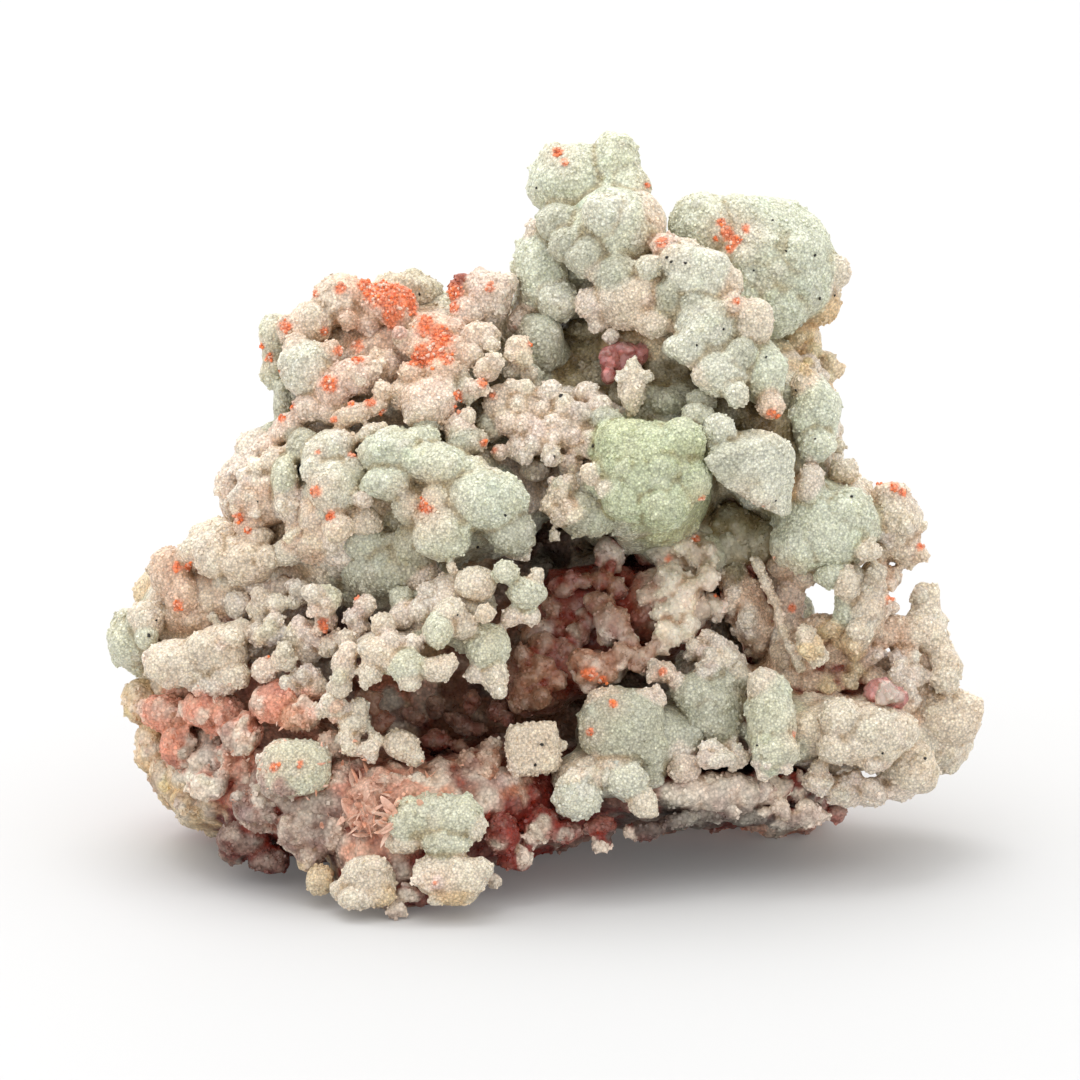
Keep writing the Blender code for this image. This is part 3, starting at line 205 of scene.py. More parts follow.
LEFT_SHOULDER = (
    ("rose", -4.8, 49.2, 6.4, 2.2, 2.3), ("rust", -7.2, 49.6, 5.6, 0.9, 1.1), ("rust", -6.9, 50.6, 5, 0.55),
    ("rose", -3.1, 50.3, 5, 0.9), ("rose", -6.4, 47.9, 6.8, 1.4), ("cream", -9.1, 46.3, 8.8, 2.2, 1.8),
    ("cream", -9.2, 44.7, 9.8, 2.1, 1.4), ("white", -11.6, 45.9, 8.6, 0.75, 0.8),
    ("rose", -12.6, 48.7, 6.6, 2.3, 1.9), ("rose", -11.2, 47, 6.4, 1.3, 1),
    ("pale", -11.6, 49.2, 2.6, 3.1, 2.3), ("cream", -16.7, 48.8, 5.4, 2.2, 2.3),
    ("wood", -15.9, 47.2, 6.2, 0.95), ("wood", -14.9, 49.5, 5.4, 1.3), ("cream", -18.9, 46.9, 5.8, 1.9, 2.1),
    ("cream", -20.6, 46.6, 4.8, 1.2, 1.4), ("pale", -21.7, 46, 2.6, 1.65, 2.2),
    ("pale", -21.9, 43.3, 2.4, 1.25, 1.7), ("white", -19, 43.4, 8.6, 2.3, 2.4), ("cream", -20, 45, 7, 1.3),
    ("rose", -15.2, 42.7, 10, 2.3, 1.7), ("rose", -17, 41.7, 9.6, 1.6), ("wood", -13.3, 45.2, 5.2, 2, 1.7),
    ("cream", -13.1, 41.7, 11, 0.85), ("cream", -13.6, 40.4, 10.8, 1.1, 0.8), ("wood", -17.2, 44.9, 8.4, 1),
    ("blush", -9.5, 40.6, 12.6, 2.5, 2.4, 14, 1), ("cream", -10.9, 43.1, 10.6, 1.1, 1),
    ("cream", -8.3, 43.4, 11.2, 1.5, 1), ("sage", -6.2, 41.6, 11.4, 1.1, 1.3),
    ("cream", -6.4, 39.5, 12.2, 0.95, 0.9), ("sage", -21.2, 40.6, 3.8, 0.85, 2.1),
    ("rose", -18.7, 40.2, 8.6, 1.8, 1.3), ("rose", -20.5, 38.7, 7.6, 1.7, 1.3, 25),
    ("rose", -22.2, 37.2, 6.6, 1.6, 1.2, 25), ("cream", -15.4, 39.7, 10.8, 2.1, 0.95, 15),
    ("rose", -23.6, 35.8, 6.4, 2, 1.5, 25), ("rose", -25.3, 34.2, 5.4, 1.4, 1.5),
    ("wood", -25, 32.4, 5, 1.2, 1.4), ("wood", -22.7, 32.9, 9.2, 2.5, 2.2),
    ("pale", -20.8, 34.4, 10.6, 1.2, 2.2), ("white", -17.3, 36.9, 12.2, 2.6, 1.7, 28),
    ("white", -17, 33.8, 14, 2.2, 2.4), ("cream", -16.6, 30.7, 14.4, 1.4, 1.35),
    ("rose", -14.6, 33, 14, 0.9, 0.9), ("white", -18.6, 35.3, 12.6, 1.3), ("wood", -19.6, 30, 10.6, 1.6, 1.5),
    ("wood", -18.2, 28.6, 10.4, 1.4, 1.1), ("cream", -13.9, 38.3, 12.2, 1.6, 0.9, 20),
    ("rose", -12.8, 43.4, 8.4, 1.6), ("rose", -14.2, 47.2, 5.6, 1.5), ("cream", -7.2, 44.8, 9.6, 1.3),
    ("rose", -7.4, 46.4, 8.2, 1.2), ("cream", -9, 42.2, 10.6, 1.3), ("cream", -11.6, 41.4, 10.4, 1.3),
    ("rose", -17.2, 40, 9, 1.4), ("sage", -19.4, 37.2, 9.8, 1.6), ("cream", -21.4, 36, 9, 1.5),
    ("rose", -20.2, 32.6, 10.4, 1.6), ("cream", -22.9, 34.9, 8.4, 1.4), ("sage", -15.4, 35.2, 12.8, 1.5),
    ("cream", -14.6, 31.2, 12.8, 1.6), ("rose", -16.2, 28.8, 11.8, 1.6), ("wood", -23.6, 31, 8.4, 1.6),
    ("cream", -20.6, 28.8, 10, 1.4), ("sage", -7.2, 42.6, 10.6, 1.2), ("cream", -6, 44.4, 9.8, 1.1),
)

LEFT_MIDDLE = (
    ("green", -12.2, 36.7, 14.4, 2.8, 2.1), ("green", -8.6, 35.6, 15.4, 3.2, 1.9, -12),
    ("green", -12.8, 34.3, 14.8, 2.2, 1.5), ("green", -5, 32.9, 17, 3.4, 2.6),
    ("green", -8.2, 30.5, 16.4, 2.6, 2.3), ("sage", -3, 30.4, 15.6, 2.2, 2),
    ("green", -9.9, 38, 13.4, 1.6, 1), ("sage", -12.7, 27.7, 12.8, 4.1, 3.1),
    ("sage", -14.9, 29.6, 12.4, 1.9), ("rose", -9.9, 26.7, 12.6, 1.7), ("olive", -12.5, 31.5, 9.2, 2, 1.9),
    ("cream", -7.6, 27.6, 15.6, 0.45, 0.6), ("sage", -6.4, 37.6, 13, 1.9, 1.3),
    ("green", -8.8, 33, 15.6, 1.4, 1.3), ("rose", -2.4, 28.8, 13.6, 1.3, 0.9), ("sage", -10.6, 29.2, 13.4, 2),
    ("green", -10.8, 32.4, 14.2, 1.7), ("rose", -7, 38.6, 12.4, 1.4), ("sage", -9.6, 39, 12, 1.3),
    ("green", -6.2, 34.9, 15, 1.8),
)

CHAIN = (
    ("cream", -5.7, 26.3, 16.9, 1.9, 1.6), ("pale", -3.3, 27.2, 17.6, 1.15),
    ("pale", -1.7, 25.6, 16.8, 1.7, 1.4), ("rose", -1.3, 23.7, 15.6, 1.1, 0.8), ("rose", -2.9, 23.7, 15.8, 1),
    ("cream", -0.8, 27, 16, 0.7), ("cream", -7.7, 24.3, 17.8, 1.3, 1.15),
    ("pale", -8.6, 22.6, 18.8, 1.35, 1.7), ("cream", -4.9, 24, 18.2, 0.95),
    ("pale", -4.8, 21.4, 16.8, 2.1, 1.9), ("cream", -4.1, 18.9, 16.6, 1.2, 1.5),
    ("cream", -3.8, 17.9, 16.7, 0.85, 0.85), ("rose", -5.7, 19.2, 16.2, 0.95, 0.9),
    ("cream", -6.6, 23, 17.2, 1.2), ("cream", -13.3, 20.8, 18, 1.6, 1.4),
    ("cream", -13, 23.1, 16.6, 1.15, 1.15), ("cream", -14, 19.3, 17.6, 1.2),
    ("pale", -11.2, 19.7, 18.6, 1.7, 1.6), ("cream", -10.9, 18.6, 18.2, 1.1, 0.95),
    ("cream", -8.7, 19.6, 18.6, 1.5, 1.15), ("cream", -7.8, 20.1, 18.6, 0.95, 0.85),
    ("rose", -12.4, 21.7, 17.4, 1.1), ("rose", -10.6, 21.6, 17.2, 0.9), ("rose", -16.1, 19.9, 16.4, 1.2, 1.3),
    ("pale", -17.7, 25, 14, 1.5, 1.5), ("rose", -15.1, 23.3, 13.4, 0.9, 1.4), ("rose", -15.6, 21.6, 14.4, 1),
    ("rose", -14.4, 24.6, 14.2, 1.1), ("rose", -17.6, 23.4, 12.4, 1.1), ("cream", -16.4, 18.4, 15, 0.9),
    ("rose", -10, 24.2, 15.6, 1.2), ("rose", -11.6, 23.6, 14.8, 1.2), ("rose", -9.4, 25.6, 15.4, 1),
    ("sage", -11.6, 25.2, 14, 1.2),
)

FAR_LEFT = (
    ("cream", -26.6, 28.5, 8.8, 1.7, 2.1), ("cream", -24, 28.2, 9.4, 2.6, 2),
    ("cream", -25.8, 30.2, 7.4, 1.7, 1.3), ("cream", -23.2, 30, 8.6, 1.6, 1.2),
    ("cream", -28.4, 28.8, 6.8, 1.2), ("cream", -22.2, 28.3, 9.8, 1.2), ("wood", -30.1, 27.1, 6.2, 1.9, 2.3),
    ("wood", -29, 25.2, 6.8, 1.6, 1.9), ("pale", -33.2, 21.8, 4.2, 2.2, 2.6),
    ("cream", -31.9, 23.5, 5.6, 1.7), ("pale", -31.9, 22, 6, 1.1), ("cream", -29.3, 20, 10.2, 3, 2.1),
    ("cream", -26.1, 20.6, 10.4, 2.6, 2.5), ("cream", -27.6, 21.3, 10.8, 1.4),
    ("cream", -25, 19, 10.6, 1.6, 1.3), ("rose", -26.5, 18.2, 9.8, 2, 1.2),
    ("wood", -25.8, 24.4, 5.8, 2.8, 1.4), ("cream", -26.6, 23.6, 6.6, 0.5),
    ("cream", -22.8, 24.3, 9.4, 1.15, 1.2), ("cream", -21.7, 24.8, 9.2, 0.75, 0.55, 30),
    ("cream", -24.4, 22.9, 8.8, 0.7, 0.75), ("rose", -19, 21.6, 11.4, 1.6, 2),
    ("cream", -20.9, 20.2, 12.4, 1.15, 0.95), ("glass", -21.7, 22.3, 10.8, 1), ("rose", -21.4, 25.6, 8, 1.6),
    ("cream", -19.6, 25.6, 9.6, 1.1), ("rose", -24.6, 24.6, 7.6, 1.4), ("rose", -22.9, 22.2, 10, 0.9, 1.1),
    ("cream", -24.9, 22.4, 8.6, 1), ("rose", -22.4, 19.4, 11.6, 1.2), ("cream", -17.3, 21.4, 12.6, 1.1),
    ("rose", -20.6, 18, 12.2, 1, 0.8), ("cream", -19.3, 18.8, 12.2, 1.5, 1),
    ("rose", -18.6, 17.8, 12, 0.9, 0.8), ("rose", -23.9, 21.6, 7.6, 1, 1.4),
)

FRONT_KNOBS = (
    ("pale", -9.2, 7.6, 18.8, 3.7, 2.3), ("pale", -11.2, 7.8, 19, 1.6, 1.8),
    ("pale", -7.2, 8, 19.2, 2.3, 1.9), ("cream", -5.7, 7.2, 18.6, 1, 1.3),
    ("cream", -11.4, 5.9, 18.2, 1.6, 0.9), ("pale", -8, 5.9, 19, 2.2, 1.3),
    ("cream", -7.6, 3.2, 19.4, 3.3, 1.9), ("cream", -5.4, 3.7, 19, 1.3, 1.2),
    ("cream", -9.4, 3.4, 19.2, 1.5, 1.4), ("tan", -7.4, 1.9, 18.8, 2.1, 1.1),
    ("cream", -14.2, 3, 18.2, 2.4, 2.1), ("cream", -13.9, 4, 18.6, 1.5, 1.1),
    ("cream", -15.1, 1.5, 18.4, 1.8, 1.1), ("tan", -13.2, 1.7, 18, 1.4, 1), ("tan", -18, 2.9, 14.8, 1.4, 1.4),
    ("cream", -16.5, 2.2, 16.6, 0.9),
)

LEFT_BLOCK = (
    ("pale", -19.9, 11.9, 15.8, 3, 2.2, -4, 3.4), ("pale", -20.2, 11, 15.9, 2.4, 1.6, 0, 3.4),
    ("rose", -18.2, 12.3, 14.8, 1.2, 1.2), ("cream", -22.2, 11.2, 14.8, 0.8, 1.2),
    ("cream", -20.9, 13, 14.6, 1.5, 0.9),
)

BEAD_ROW = (
    ("cream", -15.2, 15.4, 14.8, 1.3, 1.4), ("cream", -16.8, 16.5, 15, 1.1, 0.95),
    ("cream", -17.9, 16.2, 14.2, 0.6), ("rose", -15.5, 13.9, 14.8, 0.95, 0.8), ("cream", -13.6, 14, 15, 0.75),
    ("rose", -14, 12.8, 15.2, 0.75), ("cream", -11.5, 13.5, 15.2, 1.6, 1.35, -20, 2.6),
    ("cream", -10.5, 12.6, 15, 0.9),
)

CUBE = (
    ("cream", -1.15, 13.2, 14.6, 2.3, 2.25, 6, 6),
)

MATRIX = (
    ("tan", -32.6, 16.9, 3, 1.6, 1.9), ("tan", -31.5, 13.3, 3.4, 1.6, 2.4),
    ("tan", -30.1, 10.9, 4.4, 1.6, 1.7), ("tan", -28, 9.2, 6.4, 1.9, 1.3),
    ("pinkrock", -30.2, 16, 6.6, 2.4, 1.7), ("pinkrock", -26.7, 16.2, 9.6, 2.8, 1.6),
    ("pinkrock", -29.4, 13.4, 7.4, 1.6, 1.9), ("pinkrock", -24.2, 14.4, 10.6, 1.8, 1.8),
    ("pinkrock", -21.6, 16.8, 12.6, 2.2, 1.7), ("pinkrock", -19.6, 15.8, 13.2, 1.7, 1.4),
    ("pinkrock", -26.8, 10.3, 9.8, 1.9, 1.3), ("pinkrock", -24.4, 11.8, 9.4, 1.7, 2),
    ("greyrose", -22.6, 8.4, 12.2, 2.5, 1.9), ("greyrose", -19.4, 6.9, 14, 2.2, 2.2),
    ("greyrose", -17.2, 6.7, 14.4, 1.8, 1.8), ("darkrust", -24.2, 6, 9.6, 2.2, 1.6),
    ("darkrust", -22.2, 4.4, 9, 1.8, 1.3), ("greyrock", -24.8, 4.9, 7.6, 1.3, 1),
    ("tan", -19, 4.6, 13.4, 1.2, 1.2), ("frill", -14.2, 9.8, 15.6, 1.5, 1.5),
    ("frill", -13.9, 7.8, 16.2, 1.1, 1.7), ("frill", -15.3, 8.4, 15.2, 0.9, 1.6),
    ("frill", -12.6, 10.6, 15.2, 1.5, 1), ("frill", -17.2, 13.6, 13.4, 1.3, 1.2),
    ("pinkrock", -16.2, 11, 13.4, 1.5, 1.4), ("blush", -10.2, 10.8, 14.6, 1.5, 0.4, -4),
    ("crust", -5.4, 11.4, 13.2, 1.4, 1.7), ("crust", -4.6, 13, 12.2, 0.8, 1),
    ("crust", -5, 9.9, 13.6, 1.4, 0.9), ("rust", -3.6, 6.6, 14.8, 1.5, 1.8),
    ("rust", -2.6, 4.6, 13.6, 1.6, 1.2), ("rust", -0.6, 7.2, 13.2, 1.7, 1.6),
    ("rust", -1, 9.6, 11.2, 1.6, 1.4), ("rust", 1.2, 6.6, 12.8, 1.6, 0.9), ("rust", 4.2, 7, 12.8, 1.5, 0.9),
    ("rose", 4.3, 5.6, 12.6, 0.95, 0.85), ("rose", -4.2, 2.8, 15.6, 0.6),
    ("rose", -12, 0.75, 16.8, 0.65, 0.6), ("rust", -10.9, 1.9, 16.6, 1.5, 0.9),
    ("greyrock", 7.6, 6.7, 12, 1.9, 0.75, 10), ("greyrock", 10.4, 7.5, 11.2, 1.9, 0.75, 12),
    ("greyrock", 13.2, 8.2, 10.4, 2, 0.95), ("greyrock", 16.2, 7.9, 9.4, 2, 0.9),
    ("greyrock", 18.6, 7.6, 8.2, 1.6, 0.8), ("rose", 20.9, 8, 8.4, 1.3, 1.1),
    ("rose", 18.5, 8.6, 9.6, 0.85, 0.9), ("rose", 17.2, 9.9, 10, 1), ("rose", 15.8, 10.3, 9.6, 0.9),
    ("rose", 12.9, 10.3, 10.8, 0.8, 1), ("rust", 23, 8, 7.2, 0.9, 0.8), ("rust", 19.6, 10.2, 8, 1.6, 1.2),
    ("rust", 14.5, 10.4, 8, 1.8, 1.2),
)

DRUSE = (
    ("brown", 0.9, 24.3, 4, 0.85), ("brown", 1.9, 23.4, 4.4, 0.55), ("brown", 3.2, 23.6, 5.4, 0.6),
    ("brown", 2.4, 22.2, 5.6, 0.65), ("brown", 1.2, 22, 4.8, 0.6), ("cream", 4, 24.6, 6.6, 0.8),
    ("cream", 5, 22.9, 8, 1.25, 1.35), ("cream", 6.6, 21.7, 8.6, 0.8, 0.9),
    ("cream", 7.3, 20.3, 9.6, 1.4, 0.95), ("cream", 5.9, 20.6, 9.4, 0.7), ("cream", 8.8, 21.2, 9, 0.9, 0.7),
    ("cream", 9.8, 22.2, 8.4, 1.3, 1), ("cream", 9.9, 24, 7.6, 1.5, 1.3),
    ("cream", 11.2, 22.8, 7.8, 0.9, 1.1), ("rose", 9.3, 26.5, 7.4, 1.05), ("rose", 9, 25.2, 7.2, 0.75),
    ("rose", 7.8, 25.5, 6.8, 0.6), ("rose", 12.7, 26.7, 6.8, 0.95, 1), ("cream", 11.1, 26, 7, 0.85),
    ("cream", 10.8, 25, 7.6, 0.9), ("brown", 2.1, 26, 3.4, 1.2, 0.6), ("brown", 3.7, 26.3, 3.6, 1, 0.55),
    ("brown", 5.3, 26.1, 4.4, 0.8, 0.6), ("brown", 6.6, 25.5, 4.6, 0.7), ("brown", 5.2, 28.6, 4.4, 1.25, 1.4),
    ("brown", 6.9, 23.6, 5, 0.8, 1.2), ("brown", 12.9, 24.5, 4.6, 1, 1), ("brown", 13.5, 24.6, 4.8, 0.7),
    ("rose", 3.7, 19.3, 10, 1.6, 1.2), ("rose", 2.6, 19.8, 9.2, 0.8), ("crust", 4.9, 19.8, 9.8, 0.7),
    ("brown", 1.4, 20.9, 6.4, 1, 0.8), ("brown", -0.7, 19.4, 8.4, 0.95, 0.9),
    ("brown", -2, 20.4, 7.6, 0.9, 1), ("brown", -0.4, 21.2, 6.4, 0.8), ("brown", -1.6, 18.6, 8, 0.9),
    ("brown", 0.6, 18.6, 8, 0.8, 0.7), ("brown", -0.9, 17, 8.6, 0.8, 0.9), ("brown", -2.4, 17.2, 7.6, 0.8),
    ("brown", 0.2, 22.6, 4.6, 0.8), ("brown", -1.2, 22.6, 5.4, 0.8), ("brown", 1, 25.9, 5, 0.9, 0.55, 40),
    ("brown", 2.6, 26.6, 5.4, 1.1, 0.55, 12), ("brown", 4.3, 26.7, 5.6, 1.1, 0.55, -4),
    ("brown", 5.7, 26.1, 5.6, 0.8, 0.55, -40), ("rose", 5, 28.6, 5.2, 1.4, 1.6),
    ("sage", 10.2, 29.4, 5.4, 3.2, 2.4), ("olive", 14.8, 30.4, 4.6, 2.8, 2.4), ("sage", 12.8, 28.6, 5.6, 1.7),
    ("olive", 17.2, 29.6, 4.8, 1.8), ("rust", 16.8, 27.9, 3.6, 1.6, 1),
)

CAVE_BEADS = (
    ("brown", -7.1, 15.2, 1.6, 0.8), ("brown", -5.6, 14.6, 2.4, 0.65), ("brown", -4.2, 16, 4.2, 0.8, 0.7),
    ("brown", -13, 15.5, 8.4, 0.9, 0.8), ("brown", -8.8, 13.4, 3.6, 0.8), ("brown", -3.2, 15.6, 5.6, 0.7),
    ("brown", -9.2, 16.6, 0.2, 0.7), ("brown", -11, 15.8, 3, 0.7), ("brown", -14.4, 17, 9.8, 1.2, 1),
    ("brown", -5.8, 16.9, 2.6, 0.6), ("brown", -7, 13.2, 4.4, 0.7),
)

HILGARDITE = (
    ("pink", 4.9, 44.2, 8, 1, 1.2), ("pink", 6.2, 44.9, 7.6, 1.3, 0.7), ("pink", 4.8, 42.8, 8.2, 0.7, 0.8),
    ("pink", 7.5, 44.6, 7.2, 0.6, 0.9), ("pink", 5.9, 43.9, 7.6, 1.7, 1.5),
)

HILGARDITE_RIGHT = (
    ("pink", 26.4, 17.7, 9.8, 1.5, 1.2), ("pink", 27.7, 17.2, 9.4, 1.1, 1),
)

# Lumps that finish the side away from the viewer: (tint, across, up, back, half width, half height)
BACK_OF_CLUSTER = (
    ("green", 3, 57.5, -5.2, 3.4, 3.4), ("green", 5.4, 53, -7.4, 3.6, 3.6), ("sage", 0.6, 52, -6.8, 3, 3.5),
    ("green", 8, 50.5, -8.4, 2.6, 2.8), ("cream", 2.5, 48, -9.4, 3.2, 2.8),
    ("green", 17, 51.6, -7.8, 5.4, 4.2), ("green", 12.6, 53.3, -6.4, 3, 2.6),
    ("tan", 21.2, 49.8, -6, 2.6, 3.1), ("cream", 15, 47.4, -9.4, 3.4, 3), ("tan", 19.3, 45.6, -7.8, 2.8, 2.6),
    ("rose", -5, 46.8, -8.4, 3.2, 3), ("cream", -10.5, 47.4, -9, 3.6, 3.2),
    ("green", -16, 46.2, -8.4, 3.6, 3.4), ("cream", -20.2, 43.8, -6, 2.7, 3),
    ("rose", -7.5, 42, -12, 3.8, 3.4), ("cream", -13.5, 41.4, -12.4, 3.9, 3.5),
    ("sage", -18.8, 39, -10.4, 3.5, 3.6), ("cream", -1, 43, -12.4, 3.8, 3.6),
    ("green", 5, 42.2, -13.4, 4.4, 4), ("sage", 11.5, 42.4, -12.4, 3.8, 3.6),
    ("pale", 17.4, 40.4, -11, 3.6, 3.6), ("cream", 21.4, 37, -8.4, 2.5, 3.2),
    ("rose", -22.2, 34.4, -9, 3.4, 3.4), ("cream", -16, 35.2, -14.6, 4.2, 3.8),
    ("sage", -9, 36.2, -16.4, 4.2, 3.8), ("cream", -2, 36.6, -17, 4.2, 3.8),
    ("green", 5.5, 35.8, -17.2, 4.4, 4), ("sage", 12.5, 36, -15.6, 4, 3.8),
    ("cream", 18.6, 33.4, -13, 3.8, 3.8), ("tan", 23.4, 30.6, -9.2, 3.1, 3.3),
    ("cream", 27.4, 31, -4.8, 2.3, 3), ("cream", -26.4, 28.4, -9, 3.3, 3), ("tan", -30.3, 25.2, -6.8, 2.7, 3),
    ("pale", -32.6, 21.4, -5.6, 2.2, 2.6), ("cream", 31.2, 19.6, -3.6, 2.2, 2.4),
    ("cream", 32.2, 15.4, -5.4, 2.7, 2.6), ("tan", 28, 15, -9, 3.5, 3), ("rose", 22.8, 15.6, -11.6, 3.6, 3.2),
    ("rust", 18.2, 25.4, -9.4, 1.9, 3.6),
)

BACK_OF_MATRIX = (
    ("pinkrock", -27, 19, -12.6, 4.2, 4.4), ("greyrose", -20.4, 26, -17, 4.8, 4.4),
    ("tan", -12, 28.6, -19.6, 5.6, 4.6), ("greyrose", -3, 29.6, -21.2, 5.8, 4.8),
    ("rose", 6.5, 28.6, -20.6, 5.6, 4.8), ("tan", 14.5, 27, -17.6, 4.6, 4.6),
    ("pinkrock", -16, 19, -22.4, 5.8, 5.4), ("greyrock", -5.5, 20.4, -24.2, 6, 5.6),
    ("greyrose", 5.5, 20, -23.6, 6, 5.4), ("rose", 14.8, 18.6, -20, 5.2, 5),
    ("pinkrock", -24.4, 12.6, -14.6, 4.6, 4.2), ("darkrust", -16, 13, -20.8, 5, 4.4),
    ("greyrock", -5, 13.6, -23.4, 5.4, 4.6), ("greyrose", 6, 13.4, -22.4, 5.4, 4.6),
    ("pinkrock", 15.6, 12.8, -17.6, 4.6, 4.2),
)

# Bulk that the lumps stand on: (across, up, depth of its middle, half width, half height, half depth)
BULK_OF_CLUSTER = (
    (3.4, 53.5, -1.4, 4.6, 6.4, 5.4), (16.4, 50.4, -2, 5.8, 4.8, 5), (10.4, 46.4, -1, 7.4, 6.2, 7.6),
    (6, 39.6, -4, 12, 7.6, 12), (-12, 43, -3, 9.2, 6.6, 9), (-9.6, 34, -1, 10.4, 6.2, 13),
    (-21.4, 33, -2, 4.6, 6, 8), (-26, 24, -2, 6.4, 5.4, 8), (18, 38, -2.4, 5.4, 7.6, 8.4),
    (22.4, 31.2, 0.4, 4.4, 3.8, 7.4), (6.6, 33.8, 1, 6.8, 4.8, 13), (20, 14.6, 1.6, 9, 3.2, 8.6),
    (29, 14.2, -1.4, 5, 3.4, 5.2), (8, 14, 6, 5.6, 3.2, 6.6), (-16.4, 31, 3, 5, 6, 9),
    (25.6, 19, -1.2, 5.6, 1.8, 3.8), (-22.6, 27, 1, 5, 3.6, 6.4), (-12.8, 27.6, 4, 4.6, 3.4, 7.4),
    (18.4, 25, -3, 1.9, 6.4, 5.4), (-7.6, 24, 12.6, 3, 3.2, 3), (-12.6, 21, 13.6, 3.2, 1.6, 2.6),
    (24.5, 22, 4, 1, 2.4, 3.4), (19.2, 20, 0.6, 2, 3.6, 4.6), (30.4, 20.4, 0.6, 1.7, 4, 2.6),
    (13.4, 18, 3.4, 3, 3.6, 6.4), (4.6, 11.2, 9, 4.6, 2, 4.6), (13.4, 32.4, -8, 5.4, 4.4, 6.4),
    (25.5, 24.6, 4.4, 1.6, 2.6, 2.8), (30.1, 23.4, 0.8, 1.2, 2.6, 2.4),
)

BULK_OF_MATRIX = (
    (-11, 9, -1, 16.6, 5.4, 16.4), (9, 10.4, -5, 13.6, 3.6, 14.6), (-23.6, 11.6, -2, 8.4, 5.6, 10.4),
    (-4, 20.4, -13, 18.6, 11.6, 9.6), (9, 23, -7, 6.4, 6.4, 8.4), (-2, 13, -12, 19, 7.4, 10.6),
    (-26, 17.4, -3, 6.6, 4.6, 8), (-12, 4.6, 10.6, 5.2, 4.6, 5.6), (18.6, 9.6, -8, 4.6, 3.6, 6),
    (10.4, 9.7, 1.6, 11.6, 2.5, 9.8), (1.8, 28.4, -14.4, 5, 6.4, 5.4),
)

BULK_OF_DRUSE = (
    (5.4, 23.6, 0.6, 7.6, 4.4, 3.8), (13.2, 29.2, 1.2, 5.6, 2.4, 3.4), (-0.6, 18.8, 3.6, 3.4, 3, 3.6),
    (3.8, 19.4, 5.6, 2.6, 1.4, 3), (9.4, 24.6, 3.4, 3.4, 3, 3),
)

# Hollows cut in the bulk, laid out in the same way
HOLLOWS_OF_CLUSTER = (
    (1.6, 29.4, 7, 4, 4.6, 10), (5.6, 43.4, 9, 4, 3, 5.2), (2, 44.6, 7.4, 3.2, 3, 4.6),
    (-10, 18, 9, 8.4, 4.2, 11), (6.4, 23.4, 12, 11, 6.8, 9), (15.6, 24.6, 6, 2.8, 5, 8),
    (-12.2, 43.2, 7.6, 1.2, 2.4, 3),
)

HOLLOWS_OF_MATRIX = (
    (-8.6, 15.4, 9, 7, 3.4, 13), (10, 1.7, 3, 12.4, 4.4, 12), (1.6, 29, 0, 4, 4.4, 7),
)

# Where the iron stain is strong, which also sets how deep the painted shade in the caves is: (across, up,
# out, radius, strength)
STAINS = (
    (1.8, 27, 3, 6.5, 1), (6, 24, 4, 6.5, 1), (-7.5, 15.5, 7, 9, 1), (0.5, 19.5, 6.5, 5, 1),
    (1, 7.5, 12, 6, 0.9), (-6, 10.5, 12, 5, 0.8), (-23, 8, 9, 7, 0.75), (-21, 14.5, 10, 7, 0.55),
    (-13, 9, 12, 7, 0.7), (-22.5, 24, 5, 4.5, 0.8), (-16.5, 21.5, 9, 6, 0.6), (15, 25, 3, 3.5, 0.6),
    (14, 11, 7, 6, 0.75), (22, 9, 6, 4.5, 0.7), (22, 18.5, 5, 4, 0.6), (-12, 2, 14, 4.5, 0.6),
    (12, 21, 6, 4, 0.6), (-12, 45.5, 5, 3.5, 0.4), (-11, 28, 8, 4, 0.4), (27, 18, 4, 4, 0.3),
)

